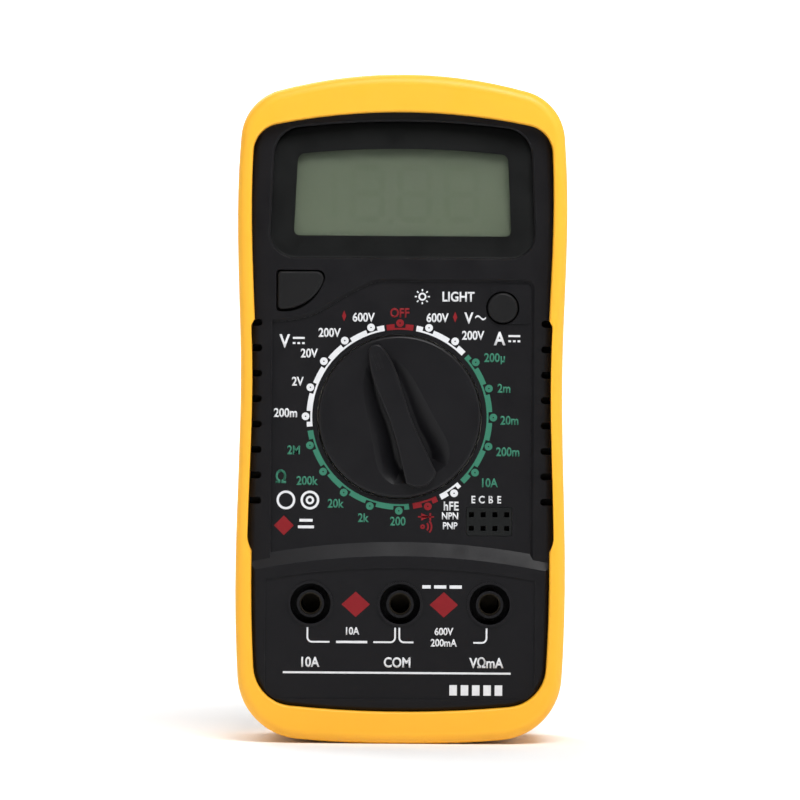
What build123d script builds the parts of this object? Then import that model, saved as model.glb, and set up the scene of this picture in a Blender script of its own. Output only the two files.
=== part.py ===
from build123d import *
import os
from math import cos, radians, sin, sqrt

# A hand-held digital multimeter in a rubber holster, standing on its bottom end.
# Millimetres. +X is to the right of someone who reads the display, +Z is up the
# meter's length, and the front faces -Y. The origin is under the centre of the
# holster, on the surface that it stands on.

# ---------------------------------------------------------------- overall size
HEIGHT = 142.0  # over the holster
LOBE = 35.0  # half width of the holster at its two wide places
WAIST = 34.15  # half width between them
TOP_END = 33.6  # half widths where the sides would meet the ends
BOTTOM_END = 33.4
UPPER_LOBE_Z, WAIST_Z, LOWER_LOBE_Z = 111.0, 80.0, 38.0
TOP_CROWN = 100.0  # radii of the two curved ends
BOTTOM_CROWN = 240.0
FOOT_SINK = 0.13  # how far the curved bottom end is cut back to a flat foot

# ------------------------------------------------- depths, from front to back
LIP_Y = -16.5  # front of the holster's lip
DECK_Y = -15.2  # raised deck round the jacks
FACE_Y = -14.0  # front of the case
LENS_Y = -13.4  # front of the display window
DIAL_Y = -13.2  # recessed panel round the knob
DECK_BACK_Y = -12.5  # back of the deck, inside the front wall
LENS_SEAT_Y = -12.2
INNER_Y = -11.0  # inside of the front wall
BOARD_FRONT_Y = -6.8
BOARD_BACK_Y = -5.2
SPLIT_Y = -2.0  # where the two case shells meet
SCREW_SEAT_Y = 4.0
REAR_INNER_Y = 12.0
DOOR_SEAT_Y = 12.2
REAR_Y = 14.0  # back of the case
BACK_Y = 16.5  # back of the holster

# ------------------------------------------------------------ shells and rims
CASE_SIDE, CASE_TOP, CASE_BOTTOM = 2.4, 4.2, 3.6  # the case, inside the holster
SHELL = 3.2  # thickness of the case's side walls
BOOT_GAP = 0.1  # between the case and the holster
OPENING_TOP_Z, OPENING_BOTTOM_Z = 134.0, 6.75  # the holster's front opening
OPENING_TOP_CROWN, OPENING_BOTTOM_CROWN = 134.0, 235.0
OPENING_TOP_CORNER, OPENING_BOTTOM_CORNER = 6.2, 8.6
OPENING_TOP_HALF, OPENING_BOTTOM_HALF = 31.5, 30.5  # half widths at its two ends
OPENING_SIDE = ((32.0, 110.0), (31.0, 82.0), (31.6, 40.0))  # and between them, with heights
RELIEF_LOW_Z, RELIEF_HIGH_Z = 36.5, 93.5  # the lip is cut back beside the finger notches
RELIEF_SIDE, RELIEF_CORNER = 2.45, 8.0
LIP_OUTER_R, BACK_EDGE_R = 2.2, 3.6  # rounded edges of the holster
LIP_INNER_R, BACK_OPENING_R = 0.45, 0.9
BACK_OPENING = (54.0, 123.0)  # width and height of the holster's rear opening
BACK_OPENING_Z, BACK_OPENING_CORNER = 72.5, 8.0
SHOULDER_R, REAR_EDGE_R = 1.6, 3.2  # rounded front and back edges of the case
NOTCH_TOP_Z, NOTCH_PITCH, NOTCH_COUNT = 89.2, 5.4, 8  # finger notches along each side
NOTCH_END_X, NOTCH_HEIGHT, NOTCH_LENGTH = 29.6, 1.5, 6.0
NOTCH_FLOOR_Y = -9.0
CASE_POST_R, CASE_PILOT_R = 3.2, 1.5  # posts for the case screws, and their pilot holes
BOARD_POST_R, BOARD_PILOT_R = 2.2, 0.9

# ------------------------------------------------------- front panel features
BAND_RADIUS = 162.0  # curve of the sloped band above the jack deck
BAND_TOP_Z, BAND_HEIGHT = 42.8, 3.0
DIAL_HALF, DIAL_TOP_Z = 27.6, 98.1
HOLD_LEFT, HOLD_RIGHT, HOLD_LOW, HOLD_HIGH = -26.4, -16.4, 92.1, 100.1
HOLD_Y = -14.5
LIGHT_X, LIGHT_Z, LIGHT_R = 21.4, 92.6, 3.2
LIGHT_Y = -14.0
KEY_GAP = 0.35  # round the keys
KEY_FLANGE_FRONT_Y, KEY_FLANGE_BACK_Y = -10.9, -9.8
KEY_FLANGE = 1.0  # how far the flange reaches past the key
KEY_TRAVEL = 0.8
SWITCH_FRONT_Y = -8.6
PLUNGER_R = 1.5
SOCKET_X, SOCKET_Z = 18.8, 47.2  # transistor test socket
SOCKET_WIDTH, SOCKET_HEIGHT = 9.8, 6.2
SOCKET_PITCH_X, SOCKET_PITCH_Z = 2.5, 2.9
SOCKET_HOLE, SOCKET_PIN = 1.1, 0.6
SOCKET_FLOOR_Y = -8.3

# -------------------------------------------------------------------- display
LENS_LOW_HALF, LENS_HIGH_HALF = 28.35, 27.15  # half widths of the window at its ends
LENS_LOW_Z, LENS_HIGH_Z, LENS_CROWN = 103.1, 132.1, 2.0
LENS_LOW_CORNER, LENS_HIGH_CORNER = 5.3, 6.0
VIEW_LOW_HALF, VIEW_HIGH_HALF = 23.1, 22.3  # the part that can be read
VIEW_LOW_Z, VIEW_HIGH_Z, VIEW_CROWN = 107.8, 126.3, 1.2
VIEW_LOW_CORNER, VIEW_HIGH_CORNER = 1.2, 1.6
VIEW_LEDGE = 0.9  # the opening in the front wall is this much wider
LENS_RIM_BEVEL = 0.35
MASK_THICKNESS = 0.2
LCD_HALF, LCD_LOW_Z, LCD_HIGH_Z = 25.2, 105.0, 128.4
LCD_MIDDLE_Z = (LCD_LOW_Z + LCD_HIGH_Z) / 2
LCD_HEIGHT = LCD_HIGH_Z - LCD_LOW_Z
LCD_BACK_Y, LCD_FRONT_Y = -8.9, -10.9
FRAME_WALL, FRAME_CLEARANCE = 1.4, 0.2
LIGHT_PLATE = (46.8, 19.6)  # the plate that spreads the backlight
LIGHT_PLATE_Z = 118.4

# --------------------------------------------------------------- dial and knob
KNOB_X, KNOB_Z = -0.4, 69.3
KNOB_R = 17.3
KNOB_GAP = 0.25
KNOB_FACE_Y = -14.2
KNOB_BACK_Y = -10.6
GRIP_Y = -16.2
POINTER_ANGLE = 20.0  # the grip points this far anticlockwise from the top
# half widths of the grip, and of the finger scoops beside it at their floor and their
# rim, each with a height along the grip
GRIP_SIDE = ((1.5, 15.4), (2.5, 11.0), (2.5, 5.0), (2.3, -1.0), (2.7, -7.0), (3.4, -13.6))
GRIP_ENDS = (16.2, -15.6)
SCOOP_FLOOR_SIDE = ((2.3, 10.2), (3.0, 7.0), (3.2, 2.5), (3.3, -3.5), (3.9, -8.0), (3.7, -10.8))
SCOOP_FLOOR_ENDS = (11.2, -11.6)
SCOOP_RIM_SIDE = ((3.9, 13.6), (5.9, 10.2), (7.3, 3.5), (8.4, -4.5), (8.8, -9.6), (6.4, -13.6))
SCOOP_RIM_ENDS = (14.9, -14.6)
SCOOP_DEPTH = 1.5  # at the knob's centre
SCOOP_TILT = 5.0  # degrees; the scoops deepen towards the grip's wide end
SCOOP_RISE = 0.5  # how far in front of the knob's face their outline is drawn
TIP_RIB_LENGTH, TIP_RIB_WIDTH, TIP_RIB_PITCH = 3.2, 0.3, 0.75
POSITIONS = 20  # click positions in one turn
ROTOR_R = 19.2
ROTOR_BACK_Y = -7.6
SPINDLE_R = 2.0
SPINDLE_END_Y = -4.4
BALL_R = 1.0
BALL_CENTRE_R = 19.4
BALL_Y = (KNOB_BACK_Y + ROTOR_BACK_Y) / 2
POCKET_R, POCKET_FLOOR_R = 1.1, 15.0
RING_BACK_Y = -8.2  # the click ring stands on the inside of the front wall
RING_R, RING_CREST_R = 22.5, 20.45
CLICK_CENTRE_R, CLICK_R = 19.75, 1.1
WIPER_RADII = (7.0, 10.0, 13.0)

# ---------------------------------------------------------------------- jacks
JACK_X = (-19.0, 0.0, 19.0)
JACK_NAMES = ("jack_amps", "jack_common", "jack_volts")
JACK_Z = 29.6
JACK_BORE_R = 2.05  # takes a 4 mm plug
JACK_TUBE_R = 2.45
JACK_MOUTH_R = 2.38  # of the hole in the sleeve, in front of the jack
JACK_SLEEVE_R = 2.9
JACK_WELL_R = 4.3
JACK_COLLAR = 0.5  # raised ring round each well
SLEEVE_Y = -14.7
JACK_FRONT_Y = -12.6
JACK_FLOOR_Y, JACK_END_Y = 1.2, 2.0
WELL_FLOOR_Y = -7.6

# ------------------------------------------------------------- rear equipment
STAND_HINGE_Y, STAND_HINGE_Z = 14.8, 121.0
STAND_HALF = 20.0
STAND_LOW_Z = 44.0
STAND_INNER_Y, STAND_OUTER_Y = 14.2, 16.2
STAND_BARREL_R, STAND_PIN_R = 1.5, 1.0
PIN_CLEARANCE = 0.05
EAR_WIDTH = 3.0
DOOR_HALF = 24.8
DOOR_LOW_Z, DOOR_HIGH_Z = 33.0, 69.5
DOOR_SCREW_Z = 36.3
CASE_SCREW_X, CASE_SCREW_Z = 21.5, 16.5

# ------------------------------------------------------------- inside the case
BOARD_HALF, BOARD_LOW_Z, BOARD_HIGH_Z = 27.8, 11.5, 130.5
BOARD_SCREWS = ((-25.0, 74.0), (25.0, 74.0), (-9.5, 37.0), (9.5, 37.0), (0.0, 97.0))
BATTERY_LENGTH, BATTERY_DEPTH, BATTERY_HEIGHT = 45.5, 17.0, 26.5
BATTERY_X, BATTERY_Y, BATTERY_Z = -1.75, 3.5, 52.75
TERMINAL_OFFSET = 6.4
FUSE_Y, FUSE_Z, FUSE_LENGTH = -1.9, 16.5, 20.0
LEAD_R = 0.6
RED_ROUTE = ((24.7, 5.2, 65.25), (24.7, 5.2, 72.0), (20.0, 1.5, 77.5), (20.0, -5.2, 77.5))
BLACK_ROUTE = ((24.7, 1.8, 65.25), (24.7, 1.8, 71.0), (18.5, -0.2, 75.0), (18.5, -5.2, 75.0))
SHUNT_ROUTE = ((-14.0, -5.2, 22.9), (-14.0, 1.0, 22.9), (-5.0, 1.0, 22.9), (-5.0, -5.2, 22.9))

os.makedirs("parts", exist_ok=True)


def finish_piece(piece, name):
    """Label a finished piece and write it to its own file."""
    piece.part.label = name
    export_step(piece.part, f"parts/{name}.step")


def facing(y, x=0.0, z=0.0):
    """A sketch plane at depth y: local x is +X, local y is +Z, it faces the reader."""
    return Plane(origin=(x, y, z), x_dir=(1, 0, 0), z_dir=(0, -1, 0))


def slab(profile, back, front, mode=Mode.ADD):
    """Extrude a flat profile that lies at depth `back` forward to depth `front`."""
    extrude(profile, amount=back - front, mode=mode)


def crown_z(crown_centre_z, radius, x):
    """Height of a curved end at a distance x from the middle."""
    return crown_centre_z + sqrt(radius * radius - x * x)


def body_outline(y, side, top, bottom, top_corner, bottom_corner):
    """The waisted outline of the body, set in from the holster's outline on each side."""
    top_centre = HEIGHT - TOP_CROWN
    top_radius = TOP_CROWN - top
    bottom_centre = BOTTOM_CROWN - FOOT_SINK
    bottom_radius = BOTTOM_CROWN - bottom
    top_half = TOP_END - side
    bottom_half = BOTTOM_END - side
    top_z = crown_z(top_centre, top_radius, top_half)
    bottom_z = 2 * bottom_centre - crown_z(bottom_centre, bottom_radius, bottom_half)
    right_side = [
        (top_half, top_z),
        (LOBE - side, UPPER_LOBE_Z),
        (WAIST - side, WAIST_Z),
        (LOBE - side, LOWER_LOBE_Z),
        (bottom_half, bottom_z),
    ]
    left_side = [(-x, z) for x, z in right_side]
    with BuildSketch(facing(y)) as outline:
        with BuildLine():
            Spline(*right_side)
            Spline(*left_side)
            ThreePointArc(left_side[0], (0, top_centre + top_radius), right_side[0])
            ThreePointArc(left_side[-1], (0, bottom_centre - bottom_radius), right_side[-1])
        make_face()
        fillet(outline.vertices().group_by(Axis.Y)[-1], top_corner)
        fillet(outline.vertices().sort_by(Axis.Y)[:2], bottom_corner)
    return outline.sketch


def case_outline(y, inset=0.0):
    """Outline of the two case shells, or of their inside when set in."""
    return body_outline(
        y,
        CASE_SIDE + inset,
        CASE_TOP + inset,
        CASE_BOTTOM + inset,
        top_corner=9.0 - inset / 2,
        bottom_corner=11.5 - inset,
    )


def rounded_window(y, low_half, high_half, low_z, high_z, crown, low_corner, high_corner):
    """A window shape with leaning sides and a slightly crowned top edge."""
    with BuildSketch(facing(y)) as window:
        with BuildLine():
            Line((-high_half, high_z - crown), (-low_half, low_z))
            Line((-low_half, low_z), (low_half, low_z))
            Line((low_half, low_z), (high_half, high_z - crown))
            ThreePointArc((high_half, high_z - crown), (0, high_z), (-high_half, high_z - crown))
        make_face()
        fillet(window.vertices().group_by(Axis.Y)[0], low_corner)
        fillet(window.vertices().group_by(Axis.Y)[-1], high_corner)
    return window.sketch


def lens_outline(y, clearance=0.0):
    """Outline of the display window."""
    return rounded_window(
        y,
        LENS_LOW_HALF - clearance,
        LENS_HIGH_HALF - clearance,
        LENS_LOW_Z + clearance,
        LENS_HIGH_Z - clearance,
        LENS_CROWN,
        LENS_LOW_CORNER - clearance,
        LENS_HIGH_CORNER - clearance,
    )


def view_outline(y, margin=0.0):
    """Outline of the part of the display that can be read."""
    return rounded_window(
        y,
        VIEW_LOW_HALF + margin,
        VIEW_HIGH_HALF + margin,
        VIEW_LOW_Z - margin,
        VIEW_HIGH_Z + margin,
        VIEW_CROWN,
        VIEW_LOW_CORNER,
        VIEW_HIGH_CORNER,
    )


def disc(y, x, z, radius):
    """A circle that faces the reader."""
    with BuildSketch(facing(y, x, z)) as circle:
        Circle(radius)
    return circle.sketch


def panel(y, x, z, width, height, corner=0.0):
    """A rectangle that faces the reader, with rounded corners if asked."""
    with BuildSketch(facing(y, x, z)) as rectangle:
        if corner:
            RectangleRounded(width, height, corner)
        else:
            Rectangle(width, height)
    return rectangle.sketch


def crowned_panel(y, half_width, low_z, crown_top_z, crown_radius):
    """A rectangle whose top edge is a shallow arc."""
    height = crown_top_z - low_z
    with BuildSketch(facing(y, 0, low_z)) as crowned:
        Rectangle(2 * half_width, height, align=(Align.CENTER, Align.MIN))
        with Locations((0, height - crown_radius)):
            Circle(crown_radius, mode=Mode.INTERSECT)
    return crowned.sketch


# =============================================================== rubber holster
def front_opening(y, clearance=0.0):
    """The hole in the holster's front that shows the case."""
    top_z, bottom_z = OPENING_TOP_Z - clearance, OPENING_BOTTOM_Z + clearance
    top_half, bottom_half = OPENING_TOP_HALF - clearance, OPENING_BOTTOM_HALF - clearance
    top_end_z = crown_z(top_z - OPENING_TOP_CROWN, OPENING_TOP_CROWN, top_half)
    bottom_drop = OPENING_BOTTOM_CROWN - crown_z(0, OPENING_BOTTOM_CROWN, bottom_half)
    bottom_end_z = bottom_z + bottom_drop
    right_side = [(top_half, top_end_z)]
    right_side += [(half - clearance, z) for half, z in OPENING_SIDE]
    right_side.append((bottom_half, bottom_end_z))
    left_side = [(-x, z) for x, z in right_side]
    with BuildSketch(facing(y)) as outline:
        with BuildLine():
            Spline(*right_side)
            Spline(*left_side)
            ThreePointArc(left_side[0], (0, top_z), right_side[0])
            ThreePointArc(left_side[-1], (0, bottom_z), right_side[-1])
        make_face()
        fillet(outline.vertices().group_by(Axis.Y)[-1], OPENING_TOP_CORNER)
        fillet(outline.vertices().sort_by(Axis.Y)[:2], OPENING_BOTTOM_CORNER)
    return outline.sketch


def lip_relief(y):
    """The wider stretch of the opening, beside the finger notches."""
    relief = body_outline(y, RELIEF_SIDE, RELIEF_CORNER, RELIEF_CORNER, RELIEF_CORNER, RELIEF_CORNER)
    middle_z = (RELIEF_LOW_Z + RELIEF_HIGH_Z) / 2
    height = RELIEF_HIGH_Z - RELIEF_LOW_Z
    return relief & panel(y, 0, middle_z, 2 * (LOBE - RELIEF_SIDE), height, RELIEF_CORNER)


with BuildPart() as holster:
    slab(body_outline(BACK_Y, 0, 0, 0, 11.0, 14.0), BACK_Y, LIP_Y)
    fillet(holster.faces().sort_by(Axis.Y)[0].edges(), LIP_OUTER_R)
    fillet(holster.faces().sort_by(Axis.Y)[-1].edges(), BACK_EDGE_R)
    slab(case_outline(REAR_Y, -BOOT_GAP), REAR_Y, FACE_Y, Mode.SUBTRACT)
    slab(front_opening(FACE_Y), FACE_Y, LIP_Y - 1, Mode.SUBTRACT)
    slab(
        panel(BACK_Y + 1, 0, BACK_OPENING_Z, *BACK_OPENING, BACK_OPENING_CORNER),
        BACK_Y + 1,
        REAR_Y,
        Mode.SUBTRACT,
    )
    fillet(holster.faces().sort_by(Axis.Y)[0].inner_wires()[0].edges(), LIP_INNER_R)
    fillet(holster.faces().sort_by(Axis.Y)[-1].inner_wires()[0].edges(), BACK_OPENING_R)
    slab(lip_relief(FACE_Y), FACE_Y, LIP_Y - 1, Mode.SUBTRACT)
    split(bisect_by=Plane.XY, keep=Keep.TOP)
finish_piece(holster, "holster")


# ================================================================== front shell
def hold_outline(y, growth=0.0):
    """D-shaped key: square on its left and top, one long curve on the other sides."""
    left, right = HOLD_LEFT - growth, HOLD_RIGHT + growth
    low, high = HOLD_LOW - growth, HOLD_HIGH + growth
    with BuildSketch(facing(y)) as key:
        with BuildLine():
            Line((left, low), (left, high))
            Line((left, high), (right, high))
            Spline((right, high), (right - 0.7, high - 3.0), (right - 3.6, low + 1.7), (left, low))
        make_face()
        fillet(key.vertices().sort_by(Axis.X)[-1], 1.6)
        fillet(key.vertices().group_by(Axis.X)[0], 0.8)
    return key.sketch


def dial_panel_outline(y):
    """Recessed panel round the knob; its upper left edge sweeps up in an S."""
    low = BAND_TOP_Z - 6.0
    sweep_start, sweep_end = (-DIAL_HALF, 89.3), (-2.0, DIAL_TOP_Z)
    with BuildSketch(facing(y)) as outline:
        with BuildLine():
            Line((-DIAL_HALF, low), sweep_start)
            Spline(
                sweep_start, (-18.0, 91.2), (-13.0, 94.2), (-8.2, 96.8), sweep_end,
                tangents=((1, 0.05), (1, 0)),
            )
            Line(sweep_end, (DIAL_HALF, DIAL_TOP_Z))
            Line((DIAL_HALF, DIAL_TOP_Z), (DIAL_HALF, low))
            Line((DIAL_HALF, low), (-DIAL_HALF, low))
        make_face()
        fillet(outline.vertices().group_by(Axis.X)[-1].sort_by(Axis.Y)[-1], 1.2)
    return outline.sketch


def notch_slots(y):
    """Finger notches down both sides of the front shell, open at the outside."""
    middle_z = NOTCH_TOP_Z - NOTCH_PITCH * (NOTCH_COUNT - 1) / 2
    with BuildSketch(facing(y, 0, middle_z)) as slots:
        with GridLocations(2 * NOTCH_END_X + NOTCH_LENGTH, NOTCH_PITCH, 2, NOTCH_COUNT):
            SlotOverall(NOTCH_LENGTH, NOTCH_HEIGHT)
    return slots.sketch


with BuildPart() as jack_deck:
    slab(front_opening(DECK_BACK_Y, 0.15), DECK_BACK_Y, DECK_Y)
    slab(
        crowned_panel(DECK_BACK_Y, LOBE, 0.0, BAND_TOP_Z, BAND_RADIUS),
        DECK_BACK_Y,
        DECK_Y,
        Mode.INTERSECT,
    )
    band_edge = jack_deck.faces().sort_by(Axis.Y)[0].edges().sort_by(Axis.Z)[-1]
    chamfer(band_edge, BAND_HEIGHT, DIAL_Y - DECK_Y + 0.05)
    fillet(jack_deck.faces().sort_by(Axis.Y)[0].edges().sort_by(Axis.Z)[:-1], 1.0)

with BuildPart() as front_case:
    slab(case_outline(SPLIT_Y), SPLIT_Y, FACE_Y)
    fillet(front_case.faces().sort_by(Axis.Y)[0].edges(), SHOULDER_R)
    slab(dial_panel_outline(DIAL_Y), DIAL_Y, LIP_Y, Mode.SUBTRACT)
    face_edges = front_case.edges().filter_by_position(Axis.Y, FACE_Y - 0.01, FACE_Y + 0.01)
    chamfer(face_edges.filter_by_position(Axis.Z, 88.0, DIAL_TOP_Z + 0.1), 0.6)
    add(jack_deck.part)
    slab(notch_slots(NOTCH_FLOOR_Y), NOTCH_FLOOR_Y, LIP_Y, Mode.SUBTRACT)
    # the hollow inside, then the posts and tubes that stand in it
    slab(case_outline(SPLIT_Y, SHELL), SPLIT_Y, INNER_Y, Mode.SUBTRACT)
    for x in (-CASE_SCREW_X, CASE_SCREW_X):
        slab(disc(SPLIT_Y, x, CASE_SCREW_Z, CASE_POST_R), SPLIT_Y, INNER_Y)
        slab(disc(SPLIT_Y, x, CASE_SCREW_Z, CASE_PILOT_R), SPLIT_Y, INNER_Y, Mode.SUBTRACT)
    for x, z in BOARD_SCREWS:
        slab(disc(BOARD_FRONT_Y, x, z, BOARD_POST_R), BOARD_FRONT_Y, INNER_Y)
        slab(disc(BOARD_FRONT_Y, x, z, BOARD_PILOT_R), BOARD_FRONT_Y, INNER_Y, Mode.SUBTRACT)
    # the click ring round the rotor, and the hole that the knob turns in
    slab(disc(RING_BACK_Y, KNOB_X, KNOB_Z, RING_R), RING_BACK_Y, INNER_Y)
    slab(disc(RING_BACK_Y, KNOB_X, KNOB_Z, RING_CREST_R), RING_BACK_Y, INNER_Y, Mode.SUBTRACT)
    with BuildSketch(facing(RING_BACK_Y, KNOB_X, KNOB_Z)) as click_notches:
        with PolarLocations(CLICK_CENTRE_R, POSITIONS):
            Circle(CLICK_R)
    slab(click_notches.sketch, RING_BACK_Y, INNER_Y, Mode.SUBTRACT)
    slab(disc(INNER_Y, KNOB_X, KNOB_Z, KNOB_R + KNOB_GAP), INNER_Y, LIP_Y, Mode.SUBTRACT)
    # display pocket with a bevelled rim, and the opening that it is read through
    slab(lens_outline(LENS_SEAT_Y), LENS_SEAT_Y, LIP_Y, Mode.SUBTRACT)
    slab(view_outline(INNER_Y, VIEW_LEDGE), INNER_Y, LENS_SEAT_Y, Mode.SUBTRACT)
    face_edges = front_case.edges().filter_by_position(Axis.Y, FACE_Y - 0.01, FACE_Y + 0.01)
    rim_edges = face_edges.filter_by_position(Axis.Z, LENS_LOW_Z - 0.1, LENS_HIGH_Z + 0.1)
    rim_edges = rim_edges.filter_by_position(Axis.X, -LENS_LOW_HALF, LENS_LOW_HALF)
    chamfer(rim_edges, LENS_RIM_BEVEL)
    # pad and holes for the keys, and the hole for the transistor socket
    slab(panel(DIAL_Y, 23.2, 93.4, 8.4, 8.2, 1.0), DIAL_Y, DIAL_Y - 0.3)
    slab(hold_outline(INNER_Y, KEY_GAP), INNER_Y, LIP_Y, Mode.SUBTRACT)
    slab(disc(INNER_Y, LIGHT_X, LIGHT_Z, LIGHT_R + KEY_GAP), INNER_Y, LIP_Y, Mode.SUBTRACT)
    slab(
        panel(INNER_Y, SOCKET_X, SOCKET_Z, SOCKET_WIDTH, SOCKET_HEIGHT, 0.6),
        INNER_Y,
        LIP_Y,
        Mode.SUBTRACT,
    )
    # shallow panel for the jack marks
    slab(
        crowned_panel(DECK_Y + 0.3, 28.6, 9.4, BAND_TOP_Z - 5.5, BAND_RADIUS),
        DECK_Y + 0.3,
        LIP_Y,
        Mode.SUBTRACT,
    )
    # a shrouded well for each jack, with an insulating sleeve in the middle
    for x in JACK_X:
        collar_r = JACK_WELL_R + JACK_COLLAR
        slab(disc(BOARD_FRONT_Y, x, JACK_Z, JACK_WELL_R + 1.0), BOARD_FRONT_Y, INNER_Y)
        slab(disc(DECK_BACK_Y, x, JACK_Z, collar_r), DECK_BACK_Y, DECK_Y)
        slab(disc(WELL_FLOOR_Y, x, JACK_Z, JACK_WELL_R), WELL_FLOOR_Y, LIP_Y, Mode.SUBTRACT)
        slab(disc(WELL_FLOOR_Y, x, JACK_Z, JACK_SLEEVE_R), WELL_FLOOR_Y, SLEEVE_Y)
        slab(
            disc(BOARD_FRONT_Y, x, JACK_Z, JACK_TUBE_R + 0.03),
            BOARD_FRONT_Y,
            JACK_FRONT_Y,
            Mode.SUBTRACT,
        )
        slab(disc(JACK_FRONT_Y, x, JACK_Z, JACK_MOUTH_R), JACK_FRONT_Y, LIP_Y, Mode.SUBTRACT)
finish_piece(front_case, "front_case")


# =================================================================== rear shell
def door_outline(y, growth=0.0):
    """Outline of the battery door."""
    middle_z = (DOOR_LOW_Z + DOOR_HIGH_Z) / 2
    height = DOOR_HIGH_Z - DOOR_LOW_Z
    return panel(y, 0, middle_z, 2 * (DOOR_HALF + growth), height + 2 * growth, 2.0 + growth)


def hinge_disc(x, radius):
    """A circle round the stand's hinge line, in a plane that faces along +X."""
    hinge_plane = Plane(origin=(x, STAND_HINGE_Y, STAND_HINGE_Z), x_dir=(0, 1, 0), z_dir=(1, 0, 0))
    with BuildSketch(hinge_plane) as circle:
        Circle(radius)
    return circle.sketch


with BuildPart() as rear_case:
    slab(case_outline(REAR_Y), REAR_Y, SPLIT_Y)
    fillet(rear_case.faces().sort_by(Axis.Y)[-1].edges(), REAR_EDGE_R)
    slab(case_outline(REAR_INNER_Y, SHELL), REAR_INNER_Y, SPLIT_Y, Mode.SUBTRACT)
    # tongue that lines up the two shells
    slab(case_outline(SPLIT_Y + 2.0, SHELL - 0.5), SPLIT_Y + 2.0, SPLIT_Y)
    slab(case_outline(SPLIT_Y, SHELL + 0.1), SPLIT_Y, SPLIT_Y - 1.4)
    slab(case_outline(SPLIT_Y + 2.0, SHELL + 1.0), SPLIT_Y + 2.0, SPLIT_Y - 1.4, Mode.SUBTRACT)
    for x in (-CASE_SCREW_X, CASE_SCREW_X):
        slab(disc(REAR_INNER_Y, x, CASE_SCREW_Z, 4.2), REAR_INNER_Y, SPLIT_Y)
        slab(disc(REAR_Y, x, CASE_SCREW_Z, 3.0), REAR_Y, SCREW_SEAT_Y, Mode.SUBTRACT)
        slab(disc(SCREW_SEAT_Y, x, CASE_SCREW_Z, 1.6), SCREW_SEAT_Y, SPLIT_Y, Mode.SUBTRACT)
    # battery opening, and the post that its door is screwed to
    slab(door_outline(REAR_Y, 0.15), REAR_Y, REAR_INNER_Y, Mode.SUBTRACT)
    slab(panel(DOOR_SEAT_Y, 0, 34.3, 7.0, 8.6), DOOR_SEAT_Y, 6.0)
    slab(disc(DOOR_SEAT_Y, 0, DOOR_SCREW_Z, 1.0), DOOR_SEAT_Y, 7.0, Mode.SUBTRACT)
    # pocket and ears for the stand's hinge
    slab(
        panel(REAR_Y, 0, STAND_HINGE_Z, 2 * STAND_HALF + 0.8, 4.6, 0.8),
        REAR_Y,
        REAR_Y - 1.1,
        Mode.SUBTRACT,
    )
    for ear_x in (-STAND_HALF - 0.4 - EAR_WIDTH, STAND_HALF + 0.4):
        extrude(hinge_disc(ear_x, 1.7), amount=EAR_WIDTH)
        slab(
            panel(STAND_HINGE_Y, ear_x + EAR_WIDTH / 2, STAND_HINGE_Z, EAR_WIDTH, 3.4),
            STAND_HINGE_Y,
            REAR_INNER_Y + 1,
        )
        extrude(hinge_disc(ear_x, STAND_PIN_R + PIN_CLEARANCE), amount=EAR_WIDTH, mode=Mode.SUBTRACT)
finish_piece(rear_case, "rear_case")

with BuildPart() as battery_door:
    slab(door_outline(REAR_Y), REAR_Y, DOOR_SEAT_Y)
    slab(panel(REAR_Y, 0, STAND_LOW_Z, 16.0, 7.0, 3.0), REAR_Y, REAR_Y - 0.8, Mode.SUBTRACT)
    slab(disc(REAR_Y, 0, DOOR_SCREW_Z, 2.3), REAR_Y, REAR_Y - 1.1, Mode.SUBTRACT)
    slab(disc(REAR_Y, 0, DOOR_SCREW_Z, 1.2), REAR_Y, DOOR_SEAT_Y, Mode.SUBTRACT)
finish_piece(battery_door, "battery_door")

with BuildPart() as rear_label:
    slab(panel(REAR_Y + 0.15, 0, 23.0, 32.0, 14.0, 1.5), REAR_Y + 0.15, REAR_Y)
finish_piece(rear_label, "rear_label")


# ======================================================================= screws
def screw(head_y, x, z, head_r, head_height, shank_r, length):
    """A cross-recessed screw driven from the back; head_y is the outside of its head."""
    with BuildPart() as one_screw:
        slab(disc(head_y, x, z, head_r), head_y, head_y - head_height)
        fillet(one_screw.edges().group_by(Axis.Y)[-1], head_height * 0.3)
        slab(disc(head_y - head_height, x, z, shank_r), head_y - head_height, head_y - length)
        chamfer(one_screw.edges().group_by(Axis.Y)[0], shank_r * 0.4)
        for width, height in ((head_r * 1.1, head_r * 0.3), (head_r * 0.3, head_r * 1.1)):
            slab(panel(head_y, x, z, width, height), head_y, head_y - head_height * 0.6, Mode.SUBTRACT)
    return one_screw.part


case_screw_list = [
    screw(SCREW_SEAT_Y + 1.9, x, CASE_SCREW_Z, 2.7, 1.9, 1.45, 14.0)
    for x in (-CASE_SCREW_X, CASE_SCREW_X)
]
with BuildPart() as case_screws:
    add(case_screw_list)
finish_piece(case_screws, "case_screws")

board_screw_list = [screw(BOARD_BACK_Y + 1.1, x, z, 1.9, 1.1, 0.85, 5.4) for x, z in BOARD_SCREWS]
with BuildPart() as board_screws:
    add(board_screw_list)
finish_piece(board_screws, "board_screws")

door_screw_solid = screw(REAR_Y - 0.1, 0, DOOR_SCREW_Z, 2.15, 1.0, 0.95, 6.0)
with BuildPart() as door_screw:
    add(door_screw_solid)
finish_piece(door_screw, "door_screw")

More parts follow.
